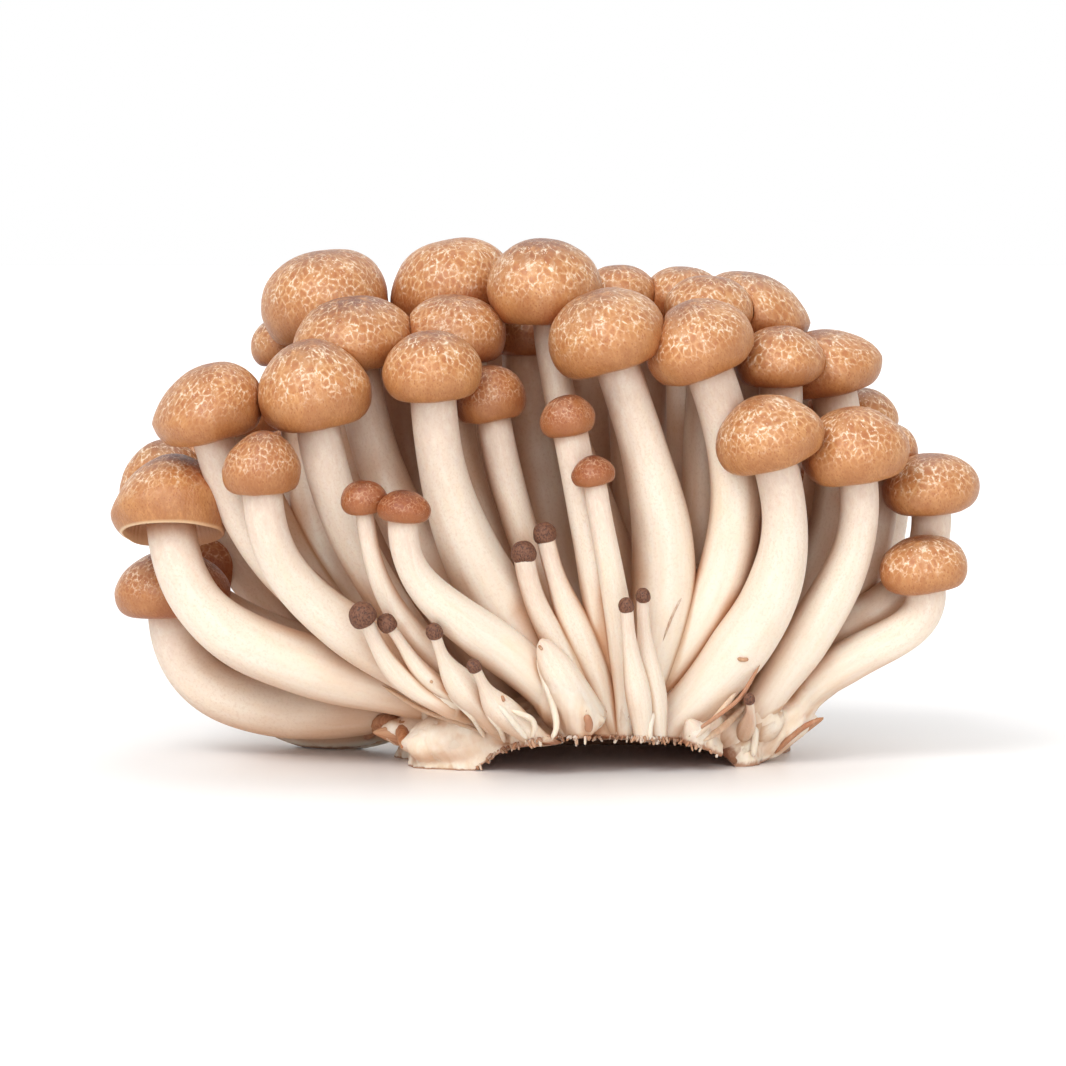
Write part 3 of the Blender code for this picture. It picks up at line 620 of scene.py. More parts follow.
def cap_profile(mushroom, opened):
    """Radius share, height and gill strength of each ring of a cap, from its top to its roof of gills."""
    tall, full = mushroom.cap_tall, mushroom.full
    rows = []
    most = math.hypot(1, APEX_ROUNDING) - APEX_ROUNDING
    for turn in np.linspace(0.03, math.pi / 2, DOME_RINGS):
        share = math.sin(turn) ** (2 / full)
        eased = (math.hypot(share, APEX_ROUNDING) - APEX_ROUNDING) / most
        rows.append((share, tall * (WIDEST_UP + (1 - WIDEST_UP) * (1 - eased**full) ** (1 / full)), 0.0))
    lip = OPEN_LIP_RADIUS if opened else LIP_RADIUS
    for turn in np.linspace(0, math.pi / 2, UNDER_RINGS)[1:]:
        rows.append((lip + (1 - lip) * math.cos(turn), tall * WIDEST_UP * (1 - math.sin(turn)), 0.0))
    roof = 0.30 * tall if opened else 0.09 * tall + 0.35
    stem = min(mushroom.stem_wide / mushroom.cap_wide, 0.85 * lip)
    for step in np.linspace(0, 1, UNDER_RINGS)[1:]:
        turned = min(step / 0.25, 1)
        share = lip - (lip - stem * 0.8) * step
        rows.append((share, roof * math.sin(turned * math.pi / 2) * (1 - 0.25 * step), turned))
    return rows


def nearby(mushroom, others):
    """The caps among others that could touch this one."""
    seat = seat_of(mushroom)
    return [
        (number, other)
        for number, other in others
        if (seat_of(other) - seat).length < 0.6 * (mushroom.cap_wide + other.cap_wide) + 1
    ]


def frame_of(mushroom):
    """Seat and the three directions of a cap, as arrays."""
    axis = axis_of(mushroom)
    side = (Vector((0, 1, 0)) - axis * axis.y).normalized()
    return [np.array(vector) for vector in (seat_of(mushroom), side, axis.cross(side), axis)]


def pushed_out(points, number, mushroom, gap, own):
    """Points moved out of a cap to its surface plus a gap, which dents what presses on it."""
    seat, side, other, axis = frame_of(mushroom)
    offset = points - seat
    height = offset @ axis
    across, behind = offset @ side, offset @ other
    behind = behind + peak_shift(mushroom, height)
    angle = np.arctan2(behind, across)
    radius = mushroom.cap_wide / 2 * lobes(number, angle) + gap
    middle = WIDEST_UP * mushroom.cap_tall
    rise = height - middle
    reach = np.where(rise > 0, mushroom.cap_tall - middle, middle * 1.15) + gap
    full = mushroom.full
    inside = ((np.hypot(across, behind) / radius) ** full + (abs(rise) / reach) ** full) ** (1 / full)
    centre = seat + axis * middle
    grow = np.where(inside < 1, 1 / np.maximum(inside, 0.3), 1)
    moved = centre + (points - centre) * grow[:, None]
    before, after = np.linalg.norm(points - own, axis=1), np.linalg.norm(moved - own, axis=1)
    held = np.minimum(1.0, (before + 0.2) / np.maximum(after, 0.01))
    return own + (moved - own) * held[:, None]


def evened(moves):
    """The moves of a grid of rings x sides, evened out along the rings and across them."""
    for _ in range(EVEN_ROUNDS):
        moves = (np.roll(moves, 1, axis=1) + 2 * moves + np.roll(moves, -1, axis=1)) / 4
        above, below = np.concatenate([moves[:1], moves[:-1]]), np.concatenate([moves[1:], moves[-1:]])
        moves = (above + 2 * moves + below) / 4
    return moves


def cap_points(number, mushroom, sides, opened):
    """Rings of a cap and its shader values, before its neighbours press on it."""
    seat, side, other, axis = frame_of(mushroom)
    radius, height, gill = np.array(cap_profile(mushroom, opened)).T
    radius = radius * mushroom.cap_wide / 2
    angle = np.linspace(0, 2 * np.pi, sides, endpoint=False)
    arc = np.cumsum(np.concatenate([[radius[0]], np.hypot(np.diff(radius), np.diff(height))]))
    margin = np.count_nonzero(gill == 0) - 1
    out = radius[:, None] * lobes(number, angle)[None]
    directions = np.cos(angle)[:, None] * side + np.sin(angle)[:, None] * other
    middle = seat + axis * height[:, None] - other * peak_shift(mushroom, height)[:, None]
    rows = middle[:, None] + out[..., None] * directions[None]
    ones = np.ones(out.shape)
    flat = np.stack([out * np.cos(angle), out * np.sin(angle), ones * height[:, None]], axis=-1)
    flat = flat.reshape(-1, 3)
    lump = wobble(flat, mushroom.cap_wide * 0.3, number).reshape(out.shape)
    small = wobble(flat, 1.6, number + 0.3).reshape(out.shape)
    swell = (mushroom.cap_wide * 0.018 * lump + 0.05 * small) / mushroom.cap_wide * 2
    centre = seat + axis * height.mean()
    rows = rows + (rows - centre) * swell[..., None] * (1 - gill)[:, None, None]
    ribs = np.cos(angle * max(RIBS_LEAST, round(mushroom.cap_wide * RIBS_WIDE)))
    rows = rows + axis * (gill[:, None] * ribs[None] * RIB_DEPTH)[..., None]
    if opened:
        low = np.clip(1 - height / (WIDEST_UP * mushroom.cap_tall), 0, 1)[:, None]
        rows[..., 2] += OPEN_TILT * (rows[..., 0] - seat[0]) * low
    unrolled = [arc[:, None] * np.cos(angle), arc[:, None] * np.sin(angle), ones * number * 23.7]
    values = {
        "skin": np.stack(unrolled, axis=-1),
        "crown": ones * np.clip(arc / arc[margin], 0, 1)[:, None],
        "gill": ones * gill[:, None],
        "rib": ones * ribs,
        "red": ones * REDDER.get(number, 0.0),
        "open": ones * opened,
        "dusk": ones * DUSK.get(number, DUSK_ELSEWHERE),
    }
    return rows, values


def srgb(*steps):
    """A linear colour from the red, green and blue of a screen, in steps of 255."""
    return tuple(((step / 255 + 0.055) / 1.055) ** 2.4 for step in steps) + (1.0,)


class Graph:
    """A material's nodes, with a short way to add and join them."""

    def __init__(self, name):
        self.material = bpy.data.materials.new(name)
        self.material.use_nodes = True
        self.tree = self.material.node_tree
        self.shader = self.tree.nodes["Principled BSDF"]

    def put(self, socket, value):
        if isinstance(value, bpy.types.NodeSocket):
            self.tree.links.new(value, socket)
        else:
            socket.default_value = value

    def shade(self, name, value):
        self.put(self.shader.inputs[name], value)

    def node(self, kind, values, **settings):
        """The outputs of a new node with these settings, its inputs given by name or number."""
        node = self.tree.nodes.new("ShaderNode" + kind)
        for name, setting in settings.items():
            setattr(node, name, setting)
        for key, value in values.items():
            self.put(node.inputs[key], value)
        return node.outputs

    def attribute(self, name, output="Fac"):
        return self.node("Attribute", {}, attribute_name=name)[output]

    def math(self, operation, first, second, clamp=False):
        return self.node("Math", {0: first, 1: second}, operation=operation, use_clamp=clamp)[0]

    def times(self, first, second):
        return self.math("MULTIPLY", first, second)

    def plus(self, first, second):
        return self.math("ADD", first, second)

    def vector(self, operation, first, second):
        into = 3 if operation == "SCALE" else 1
        return self.node("VectorMath", {0: first, into: second}, operation=operation)[0]

    def flat(self, value):
        """A vector that scales a pattern across the skin alone."""
        return self.node("CombineXYZ", {0: value, 1: value, 2: 1.0})[0]

    def noise(self, where, scale, detail=2.0, rough=0.5, output=0):
        values = {"Vector": where, "Scale": scale, "Detail": detail, "Roughness": rough}
        return self.node("TexNoise", values)[output]

    def cells(self, where, scale, feature="F1", random=1.0):
        values = {"Vector": where, "Scale": scale, "Randomness": random}
        return self.node("TexVoronoi", values, feature=feature)["Distance"]

    def step(self, value, low, high, start=0.0, end=1.0):
        """Eases from start to end as value goes from low to high."""
        values = dict(enumerate((value, low, high, start, end)))
        return self.node("MapRange", values, interpolation_type="SMOOTHSTEP")[0]

    def mix(self, factor, first, second, blend="MIX"):
        return self.node("Mix", {0: factor, 6: first, 7: second}, data_type="RGBA", blend_type=blend)[2]

    def tint(self, factor, colour, by):
        """The colour multiplied by another, as far as factor says."""
        return self.mix(factor, colour, self.mix(1.0, colour, by, "MULTIPLY"))

    def bump(self, height, distance, strength):
        values = {"Height": height, "Distance": distance, "Strength": strength}
        self.shade("Normal", self.node("Bump", values)[0])

    def soft(self, weight, reach):
        """Light that enters and spreads a little way, as in damp flesh."""
        self.shade("Subsurface Weight", weight)
        self.shade("Subsurface Scale", reach)
        self.shade("Subsurface Radius", (1.0, 0.6, 0.35))


def skin_pattern(g, skin, crown, red):
    """Where a cap has brown spots, a pale broken net and its halo, and how ragged their edges are."""
    finer = g.plus(g.times(red, 0.7), g.step(crown, 0.05, 0.45, 1.5, 1.0))
    warp = g.vector("SUBTRACT", g.noise(skin, 0.8, 2.0, output=1), (0.5, 0.5, 0.5))
    where = g.vector("ADD", skin, g.vector("SCALE", warp, 0.8))
    where = g.vector("MULTIPLY", where, g.flat(finer))
    rag = g.math("SUBTRACT", g.noise(skin, 3.2, 3.0, 0.6), 0.5)
    edge = g.plus(g.cells(where, 0.74, "DISTANCE_TO_EDGE", 0.85), g.times(rag, 0.20))
    spot = g.step(edge, 0.08, 0.26)
    line = g.step(edge, 0.0, g.step(g.noise(skin, 0.7, 2.0), 0.35, 0.65, 0.08, 0.18), 1.0, 0.0)
    fade = g.times(g.step(crown, 0.50, 0.80, 1.0, 0.0), g.step(crown, 0.02, 0.26, 0.15, 1.0))
    strewn = g.step(g.noise(skin, 0.5, 4.0, 0.6), 0.38, 0.60, 0.10, 1.0)
    broken = g.step(g.noise(skin, 1.7, 3.0, 0.6), 0.40, 0.58, 0.10, 1.0)
    pale = g.times(line, g.times(strewn, broken))
    halo = g.times(g.step(edge, 0.0, 0.34, 0.75, 0.0), g.times(strewn, fade))
    fleck = g.step(g.cells(where, 2.1), 0.14, 0.32, 1.0, 0.0)
    fleck = g.times(fleck, g.step(g.noise(skin, 0.8, 2.0), 0.44, 0.56))
    crowned = g.math("SUBTRACT", crown, g.times(red, 0.35))
    fleck = g.times(fleck, g.step(crowned, 0.34, 0.62, 0.9, 0.1))
    pale = g.math("MAXIMUM", g.times(pale, fade), fleck, clamp=True)
    return spot, pale, halo, rag


def skin_colour(g, skin, crown, pattern):
    """Tan, mottled with rounded brown spots in a pale net, dusky on top, speckled towards a plain rim."""
    spot, pale, halo, rag = pattern
    cloud = g.noise(skin, 0.24, 3.0)
    ground = g.mix(g.step(cloud, 0.36, 0.66), srgb(189, 129, 79), srgb(205, 147, 93))
    brown = g.mix(g.step(g.noise(skin, 0.9, 2.0), 0.35, 0.65), srgb(170, 100, 56), srgb(188, 122, 72))
    strong = g.step(crown, 0.50, 0.90, 0.75, 0.10)
    colour = g.mix(g.times(spot, strong), ground, brown)
    colour = g.mix(g.times(halo, 0.5), colour, srgb(216, 166, 112))
    colour = g.mix(g.times(pale, 0.92), colour, srgb(252, 234, 212))
    dusk = g.attribute("dusk")
    topmost = g.step(g.math("SUBTRACT", crown, g.times(dusk, 0.3)), -0.16, 0.26, 1.0, 0.0)
    dusky = g.step(g.noise(skin, 0.6, 4.0, 0.6), 0.26, 0.56)
    purple = g.times(g.times(topmost, dusk), dusky)
    purple = g.times(purple, g.step(pale, 0.0, 0.8, 1.0, 0.25))
    colour = g.mix(purple, colour, srgb(122, 74, 56))
    speck = g.step(g.plus(g.cells(skin, 1.7), g.times(rag, 0.3)), 0.16, 0.40, 1.0, 0.0)
    speck = g.times(speck, g.step(g.noise(skin, 0.7, 2.0), 0.30, 0.52))
    speck = g.times(speck, g.step(crown, 0.40, 0.66, 0.0, 0.85))
    speck = g.times(speck, g.step(crown, 0.82, 0.97, 1.0, 0.1))
    return g.mix(speck, colour, srgb(172, 104, 60))


def skin_material():
    """Cap skin, redder on some, darker at the rim, with painted shade where it is sheltered, and cream gills
    below.
    """
    g = Graph("cap_skin")
    skin, crown = g.attribute("skin", "Vector"), g.attribute("crown")
    red, gill = g.attribute("red"), g.attribute("gill")
    pattern = skin_pattern(g, skin, crown, red)
    colour = skin_colour(g, skin, crown, pattern)
    colour = g.tint(g.times(red, 0.9), colour, srgb(192, 146, 118))
    patchy = g.step(g.noise(skin, 1.2, 4.0, 0.7), 0.30, 0.62, 0.25, 0.65)
    rim = g.times(g.step(crown, 0.58, 0.90), patchy)
    colour = g.mix(rim, colour, srgb(156, 96, 52))
    colour = g.mix(g.times(g.step(crown, 0.94, 1.0), 0.5), colour, srgb(196, 146, 98))
    lip = g.times(g.step(crown, 0.955, 0.99), g.attribute("open"))
    colour = g.mix(g.times(lip, 0.8), colour, srgb(236, 204, 164))
    gills = g.mix(g.step(g.attribute("rib"), -1.0, 0.6), srgb(196, 160, 126), srgb(236, 218, 192))
    colour = g.mix(gill, colour, gills)
    # Painted shade: the colour is darkened towards brown where the shelter rays find the cap closed in.
    shaded = g.times(g.step(g.attribute("shelter"), 0.35, 1.0), 0.8)
    colour = g.tint(shaded, colour, srgb(214, 166, 140))
    g.shade("Base Color", colour)
    g.shade("Roughness", g.step(g.noise(skin, 2.0, 3.0), 0.3, 0.7, 0.30, 0.46))
    relief = g.plus(g.noise(skin, 1.4, 4.0, 0.6), g.times(pattern[1], 0.25))
    g.bump(relief, 0.00025, 0.55)
    g.soft(0.08, 0.0012)
    return g.material


def flesh_material():
    """Smooth cream stem flesh with faint fibres, a pinkish band near the cap that is partly its own tint and
    partly painted shadow of the cap, and painted brown shade in creases and where sheltered.
    """
    g = Graph("stem_flesh")
    fibre, rise = g.attribute("fibre", "Vector"), g.attribute("rise")
    streaks = g.noise(g.vector("MULTIPLY", fibre, (0.8, 0.8, 0.07)), 1.5, 3.0, 0.5)
    thread = g.noise(g.vector("MULTIPLY", fibre, (1.0, 1.0, 0.09)), 6.0, 2.0, 0.5)
    mottle = g.noise(g.vector("MULTIPLY", fibre, (1.0, 1.0, 0.5)), 1.1, 4.0, 0.6)
    stain = g.noise(g.vector("MULTIPLY", fibre, (0.8, 0.8, 0.25)), 0.35, 4.0, 0.6)
    colour = g.mix(g.step(streaks, 0.3, 0.72), srgb(240, 228, 212), srgb(236, 220, 201))
    colour = g.mix(g.times(g.step(stain, 0.54, 0.78), 0.4), colour, srgb(238, 212, 178))
    # Pinkish band near the cap: partly the flesh's own tint, partly painted shadow of the cap.
    blush_and_cap_shadow = g.times(g.step(rise, 0.66, 0.98), g.step(mottle, 0.28, 0.66, 0.35, 1.0))
    colour = g.mix(blush_and_cap_shadow, colour, srgb(224, 202, 185))
    grain = g.noise(g.vector("MULTIPLY", fibre, (1.0, 1.0, 0.6)), 3.5, 4.0, 0.7)
    grain = g.times(g.step(grain, 0.48, 0.66), g.step(rise, 0.2, 0.9, 0.15, 0.5))
    colour = g.mix(grain, colour, srgb(216, 190, 166))
    low = g.times(g.step(rise, 0.0, 0.2, 1.0, 0.0), g.step(stain, 0.4, 0.65, 0.0, 0.5))
    colour = g.mix(low, colour, srgb(240, 214, 180))
    # Painted shade in the creases where a stem nears another, and in the grooves of the base.
    crease_shade = g.step(g.attribute("near"), 0.0, g.plus(g.times(stain, 1.3), 0.1), 1.0, 0.0)
    colour = g.mix(g.times(crease_shade, 0.70), colour, srgb(206, 160, 118))
    leathery = g.mix(g.step(streaks, 0.3, 0.7), srgb(202, 156, 114), srgb(176, 120, 82))
    colour = g.mix(g.attribute("tan"), colour, leathery)
    uneven = g.times(g.math("SUBTRACT", mottle, 0.5), 0.9)
    brown = g.step(g.plus(g.attribute("cut"), uneven), 0.35, 0.85)
    colour = g.mix(g.times(brown, 0.85), colour, srgb(164, 106, 70))
    # Painted shade: the flesh is darkened towards brown where the shelter rays find it closed in.
    shaded = g.step(g.attribute("shelter"), 0.45, 1.0)
    colour = g.tint(shaded, colour, srgb(218, 186, 164))
    g.shade("Base Color", colour)
    g.shade("Roughness", g.step(streaks, 0.3, 0.7, 0.48, 0.6))
    relief = g.plus(g.times(streaks, 0.5), g.times(thread, 0.4))
    g.bump(relief, 0.0002, 0.4)
    g.soft(0.25, 0.003)
    return g.material


def head_material():
    """Dark brown skin of the pin heads, with darker cells and paler lines between them."""
    g = Graph("pin_skin")
    skin, crown, gill = g.attribute("skin", "Vector"), g.attribute("crown"), g.attribute("gill")
    cell = g.cells(skin, 2.2)
    colour = g.mix(g.step(cell, 0.12, 0.5), srgb(50, 27, 19), srgb(122, 80, 58))
    colour = g.mix(g.step(g.noise(skin, 2.6, 3.0), 0.4, 0.7), colour, srgb(86, 50, 36))
    colour = g.mix(g.times(g.step(crown, 0.85, 1.0), 0.6), colour, srgb(150, 112, 90))
    colour = g.mix(gill, colour, srgb(225, 205, 180))
    g.shade("Base Color", colour)
    g.shade("Roughness", g.step(cell, 0.1, 0.5, 0.5, 0.68))
    g.bump(g.step(cell, 0.1, 0.5), 0.0001, 0.5)
    return g.material


def all_stems():
    """Number, path, sides, lumps, tan and root of every stem, pin and capless finger."""
    steps, sides, lumps = STEM
    rows = [
        (number, stem_path(mushroom, steps), sides, lumps, 0.0, STEM_ROOT)
        for number, mushroom in enumerate(MUSHROOMS, 1)
    ]
    steps, sides, lumps = PIN
    for number, pin in enumerate(PINS, PINS_FROM + 1):
        rows.append((number, rooted(stem_path(pin, steps)), sides, lumps, 0.0, PIN_ROOT))
    steps, sides, lumps = FINGER
    for number, finger in enumerate(FINGERS, 1):
        root = LOW_FINGER_ROOT if finger.root_up < LOW_FINGER else FINGER_ROOT
        tan = TAN_FINGERS.get(number, 0.0)
        rows.append((FINGERS_FROM + number, finger_path(finger, steps), sides, lumps, tan, root))
    return rows


def build_stems(stems, material, shelter):
    """All stems, pins and capless fingers as one piece."""
    places = np.array([point for _, path, *_ in stems for point, _ in path])
    radii = np.array([radius for _, path, *_ in stems for _, radius in path])
    owners = np.array([number for number, path, *_ in stems for _ in path])
    shape = Shape()
    for number, path, sides, lumps, tan, _ in stems:
        add_stem(shape, path, sides, number, (places, radii, owners), shelter, lumps, tan)
    made = shape.make("stems", material)
    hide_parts("stems_and_base")
    return made


def mat_rows():
    """Rings of the mat that the stems spring from, without its lumps."""
    angle = np.linspace(0, 2 * np.pi, 90, endpoint=False)
    rows = []
    for turn in np.linspace(-0.2, 1.5, 14):
        out = (0.30 + 0.72 * math.cos(turn)) * (1 + 0.05 * np.sin(5 * angle + 1) + 0.03 * np.sin(9 * angle))
        x = BASE_MIDDLE.x + BASE_HALF_WIDTH * out * np.cos(angle)
        y = BASE_MIDDLE.y + BASE_HALF_DEPTH * out * np.sin(angle) + BASE_SLANT * (x - BASE_MIDDLE.x)
        rows.append(np.stack([x, y, np.full(x.shape, BASE_HEIGHT * math.sin(turn))], axis=-1))
    return np.array(rows)


def root_rows(path, sides, start_wide, end_wide, reach):
    """Rings of the lowest part of a stem, thicker than the stem at its root and sunk in it further up."""
    centres, radii, around, _ = tube_rows(path, sides)
    length = lengths(centres)
    kept = max(3, int((length < reach).sum()))
    share = np.clip(length[:kept] / reach, 0, 1)
    out = radii[:kept] * (start_wide + (end_wide - start_wide) * share)
    return centres[:kept, None] + around[:kept] * out[:, None, None]


def melted(parts):
    """Points, faces and normals of one soft skin over overlapping closed tubes."""
    shape = Shape()
    for rows in parts:
        shape.rings(rows, {})
    mesh = bpy.data.meshes.new("parts")
    mesh.from_pydata(np.concatenate(shape.points).tolist(), [], shape.faces)
    made = placed("parts", mesh)
    remesh = made.modifiers.new("skin", "REMESH")
    remesh.mode, remesh.voxel_size = "VOXEL", MELT_VOXEL
    smooth = made.modifiers.new("soft", "SMOOTH")
    smooth.factor, smooth.iterations = 0.5, MELT_ROUNDS
    graph = bpy.context.evaluated_depsgraph_get()
    graph.update()
    skin = bpy.data.meshes.new_from_object(made.evaluated_get(graph))
    points, normals = np.empty(len(skin.vertices) * 3), np.empty(len(skin.vertices) * 3)
    skin.vertices.foreach_get("co", points)
    skin.vertices.foreach_get("normal", normals)
    faces = [list(face.vertices) for face in skin.polygons]
    bpy.data.objects.remove(made)
    for used in (mesh, skin):
        bpy.data.meshes.remove(used)
    return points.reshape(-1, 3), faces, normals.reshape(-1, 3)


def lump_rows(across, up, depth, radius):
    """Rings of a rounded lump."""
    middle = place(across, up, depth)
    path = []
    for turn in LUMP_TURNS:
        path.append((middle + Vector((0, 0, radius * math.cos(turn))), radius * math.sin(turn)))
    return root_rows(path, LUMP_SIDES, 1.0, 1.0, 4 * radius)


def build_base(stems, material, shelter):
    """The base: stem roots, torn ends and mat melted into one fibrous lump, cut off below."""
    parts = [mat_rows()]
    parts += [root_rows(path, *root) for _, path, *_, root in stems]
    parts += [lump_rows(*lump) for lump in LUMPS]
    points, faces, normals = melted(parts)
    away = points - np.array(FIBRE_FOCUS)
    far = np.linalg.norm(away, axis=1)[:, None]
    fibre = away / far * 45.0 + far * (0.0, 0.0, 0.12)
    ripple = 0.45 * wobble(fibre, 1.6, 3) + 0.22 * wobble(fibre, 0.7, 4)
    lift = ripple + 0.5 * wobble(points, 4.0, 5)
    points = points + normals * lift[:, None] * np.clip(1.3 - points[:, 2:] / 14.0, 0.1, 1.0)
    floor = cut_height(points[:, 0], points[:, 1]) + 0.10 * wobble(points, 1.2, 6)
    points[:, 2] = np.maximum(points[:, 2], np.maximum(floor, 0.0))
    stain = CUT_STAIN * np.clip(0.45 + (points[:, 0] + 12) / 24, 0.45, 1.5)
    values = {
        "fibre": fibre,
        "rise": np.full(len(points), 0.1),
        # Deeper ripples count as near, so the painted crease shade falls in the base's grooves.
        "near": np.clip(0.75 + 2.0 * ripple, 0.0, 3.0),
        # How closed in the base is, which darkens its colour as painted shade.
        "shelter": shelter.between(points, normals),
        "cut": np.clip(1 - (points[:, 2] - floor) / stain, 0, 1),
        "tan": np.zeros(len(points)),
    }
    shape = Shape()
    shape.patch(points, faces, values)
    made = shape.make("base", material)
    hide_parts("stems_and_base")
    return made


class Front:
    """The surface that the front view shows at a place."""

    def __init__(self, pieces):
        self.tree = tree_of(pieces)
        sine, cosine = math.sin(EYE_ELEVATION), math.cos(EYE_ELEVATION)
        self.eye = EYE_TARGET + Vector((0, -cosine, sine)) * EYE_DISTANCE

    def at(self, across, up):
        way = (place(across, up, 0.0) - self.eye).normalized()
        point, normal, _, _ = self.tree.ray_cast(self.eye, way)
        return point, normal

    def depths(self, places):
        """The depth of the surface at each place, blended over places where there is none."""
        met = [self.at(across, up)[0] for across, up in places]
        known = [number for number, point in enumerate(met) if point is not None]
        return np.interp(range(len(met)), known, [met[number].y for number in known])


def add_strand(shape, places, wide, shelter, seed, tan, cut):
    """Adds a thin tapered strand through the given points, with rounded ends."""
    places = np.array(places)
    length = lengths(places)
    steps = np.linspace(0, length[-1], STRAND_STEPS)
    line = np.stack([np.interp(steps, length, places[:, axis]) for axis in range(3)], axis=1)
    for _ in range(2):
        line[1:-1] = (line[:-2] + 2 * line[1:-1] + line[2:]) / 4
    share = steps / length[-1]
    radius = wide / 2 * np.sqrt(np.clip(1 - (2 * share - 1) ** 4, 0.01, 1))
    around = tube_rows(list(zip(line, radius)), STRAND_SIDES)[2]
    rows = line[:, None] + around * radius[:, None, None]
    rows[..., 2] = np.maximum(rows[..., 2], 0.02)
    ones = np.ones(rows.shape[:2])
    middle = len(line) // 2
    # The strand's painted shade, from how sheltered its middle is.
    sheltered = shelter.at(Vector(line[middle]), Vector((0, -1, 0)))
    fibre = np.stack([rows[..., 0] * 1.4, rows[..., 1] * 1.4, steps[:, None] * ones + seed * 9.1], axis=-1)
    values = {"fibre": fibre, "rise": ones * 0.1, "near": ones, "tan": ones * tan}
    shape.rings(rows, {**values, "shelter": ones * sheltered, "cut": ones * cut})


def build_torn(material, shelter, front):
    """Torn threads, curled skin and specks on the base and the stems, and the ragged edge of the cut."""
    shape, draw = Shape(), random.Random(5)
    for seed, (wide, tan, cut, places) in enumerate(STRANDS):
        depths = front.depths(places)
        bridge = np.linspace(depths[0], depths[-1], len(depths))
        nearer = np.minimum(depths, bridge) - STRAND_PROUD * wide
        points = [place(across, up, depth) for (across, up), depth in zip(places, nearer)]
        add_strand(shape, points, wide, shelter, seed, tan, cut)
    for seed in range(FRINGE):
        across = draw.uniform(*FRINGE_SPAN)
        start, normal = front.at(across, 0.55 + float(cut_height(across, HOLLOW_FULL)))
        if start is None or start.y > FRINGE_BACK:
            continue
        long = draw.uniform(0.1, 0.7) + draw.random() ** 6
        end = start + Vector((draw.uniform(-0.8, 0.8), draw.uniform(-0.3, 0.3), -0.3 - long))
        wide, dark = draw.uniform(0.25, 0.6), draw.uniform(0.4, 1.0)
        points = [start + normal * 0.05, start.lerp(end, 0.5), end]
        add_strand(shape, points, wide, shelter, seed, 0.5 * dark, dark)
    made = shape.make("torn_threads", material)
    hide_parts("stems_and_base")


def build_caps(skin, head, shelter):
    """One piece for each cap and pin head, dented where an earlier one presses on it."""
    done = []
    for number, mushroom in enumerate(MUSHROOMS, 1):
        opened = number == OPEN_CAP
        rows, values = cap_points(number, mushroom, CAP_SIDES, opened)
        flat = rows.reshape(-1, 3)
        for other_number, other in nearby(mushroom, done):
            flat = pushed_out(flat, other_number, other, CAP_PRESS, flat.mean(axis=0))
        done.append((number, mushroom))
        rows = rows + evened(flat.reshape(rows.shape) - rows)
        # How closed in the cap is, for its painted shade.
        values["shelter"] = shelter.over(rows)
        shape = Shape()
        shape.rings(rows, values)
        made = shape.make(f"cap_skin_{number:02d}", skin)
        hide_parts(f"cap_{number:02d}")
    for number, pin in enumerate(PINS, 1):
        rows, values = cap_points(HEADS_FROM + number, pin, HEAD_SIDES, False)
        shape = Shape()
        shape.rings(rows, values)
        made = shape.make(f"pin_head_{number}", head)
        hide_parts(f"pin_cap_{number}")


def build_camera():
    camera = placed("camera", bpy.data.cameras.new("camera"))
    away = Vector((0, -math.cos(EYE_ELEVATION), math.sin(EYE_ELEVATION)))
    camera.location = (EYE_TARGET - BOX_MIDDLE + away * EYE_DISTANCE) * MM
    camera.rotation_euler = (math.pi / 2 - EYE_ELEVATION, 0, 0)
    camera.data.sensor_width = 36
    camera.data.lens = 36 * EYE_DISTANCE / VIEW_WIDTH
    bpy.context.scene.camera = camera


def add_sun(name, heading, height, spread, power, tint):
    """A broad soft light from a heading, in degrees to the right of the front, and a height."""
    light = placed(name, bpy.data.lights.new(name, "SUN"))
    light.data.angle, light.data.energy, light.data.color = math.radians(spread), power, tint
    light.rotation_euler = (math.radians(90 - height), 0, math.radians(heading))


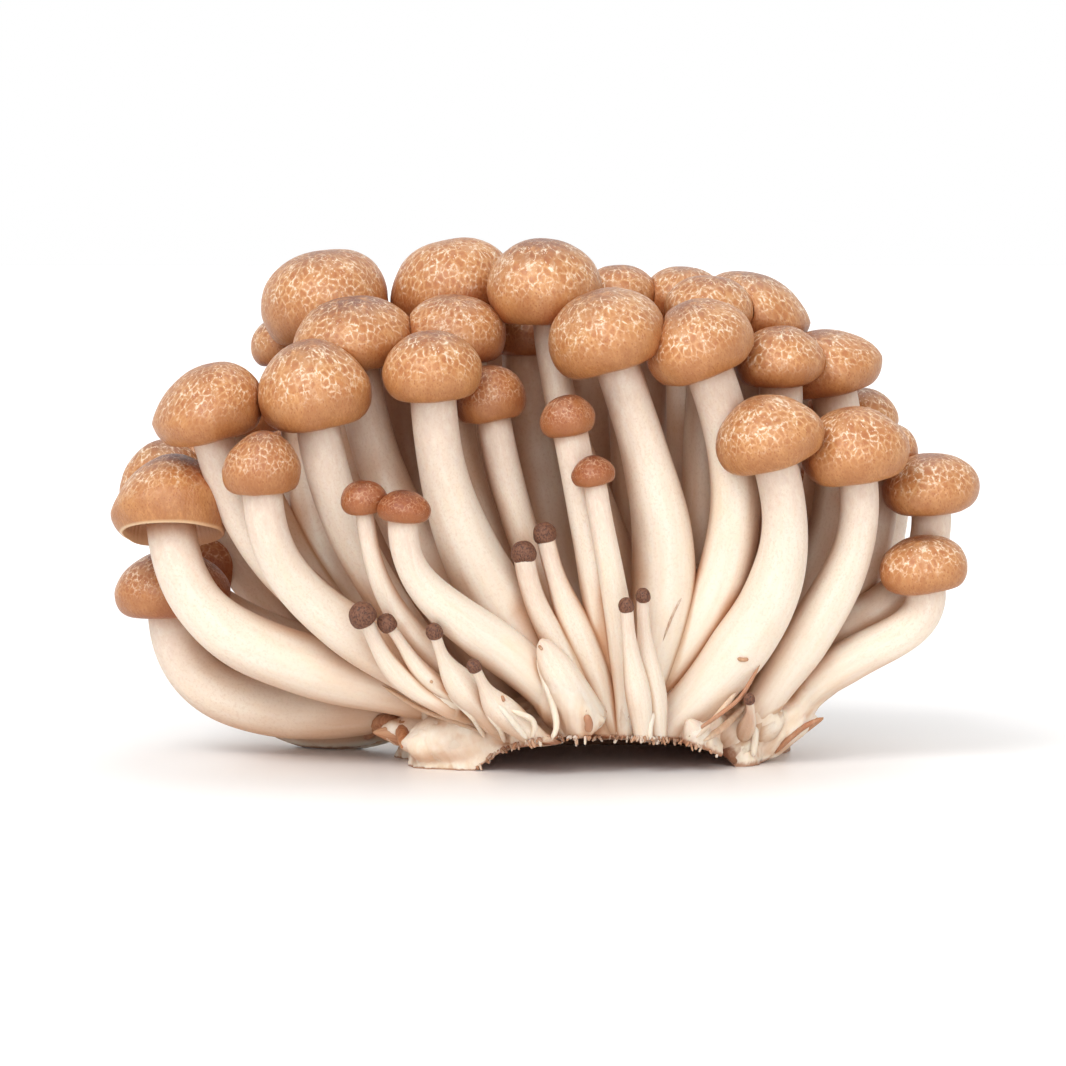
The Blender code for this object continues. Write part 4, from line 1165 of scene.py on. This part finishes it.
def build_surroundings():
    """White all round, which lights the object more dimly than it shows."""
    world = bpy.data.worlds.new("world")
    bpy.context.scene.world = world
    world.use_nodes = True
    tree = world.node_tree
    seen = tree.nodes["Background"]
    seen.inputs[0].default_value = (1, 1, 1, 1)
    fill = tree.nodes.new("ShaderNodeBackground")
    fill.inputs[0].default_value = FILL_TINT
    fill.inputs[1].default_value = FILL_POWER
    path, blend = tree.nodes.new("ShaderNodeLightPath"), tree.nodes.new("ShaderNodeMixShader")
    tree.links.new(path.outputs["Is Diffuse Ray"], blend.inputs[0])
    tree.links.new(seen.outputs[0], blend.inputs[1])
    tree.links.new(fill.outputs[0], blend.inputs[2])
    tree.links.new(blend.outputs[0], tree.nodes["World Output"].inputs[0])


def build_studio():
    """A white floor that takes a soft reflection and has a painted glow growing outwards from the object, and
    large soft lights.
    """
    g = Graph("floor")
    g.shade("Base Color", (0.97, 0.97, 0.975, 1))
    where = g.vector("DIVIDE", g.node("TexCoord", {})["Object"], FLOOR_OVAL)
    out = g.node("VectorMath", {0: where}, operation="LENGTH")["Value"]
    g.shade("Roughness", g.step(out, 0.10, 0.95, 0.29, 0.6))
    # Painted light: the floor glows more the further out it lies, so its shadow and reflection fade.
    g.shade("Emission Color", (1, 1, 1, 1))
    g.shade("Emission Strength", g.step(out, 0.30, 1.0, 0.0, 0.18))
    g.shade("Specular IOR Level", 0.4)
    mesh = bpy.data.meshes.new("floor")
    corners = [(-1, -1), (1, -1), (1, 1), (-1, 1)]
    mesh.from_pydata([(x * FLOOR_REACH, y * FLOOR_REACH, 0) for x, y in corners], [], [(0, 1, 2, 3)])
    floor = placed("floor", mesh)
    floor.data.materials.append(g.material)
    build_surroundings()
    for light in LIGHTS:
        add_sun(*light)
    bpy.context.scene.view_settings.view_transform = "Standard"


def build():
    build_camera()
    build_studio()
    shelter, stems = Shelter(), all_stems()
    flesh = flesh_material()
    pieces = [build_stems(stems, flesh, shelter), build_base(stems, flesh, shelter)]
    build_torn(flesh, shelter, Front(pieces))
    build_caps(skin_material(), head_material(), shelter)


build()
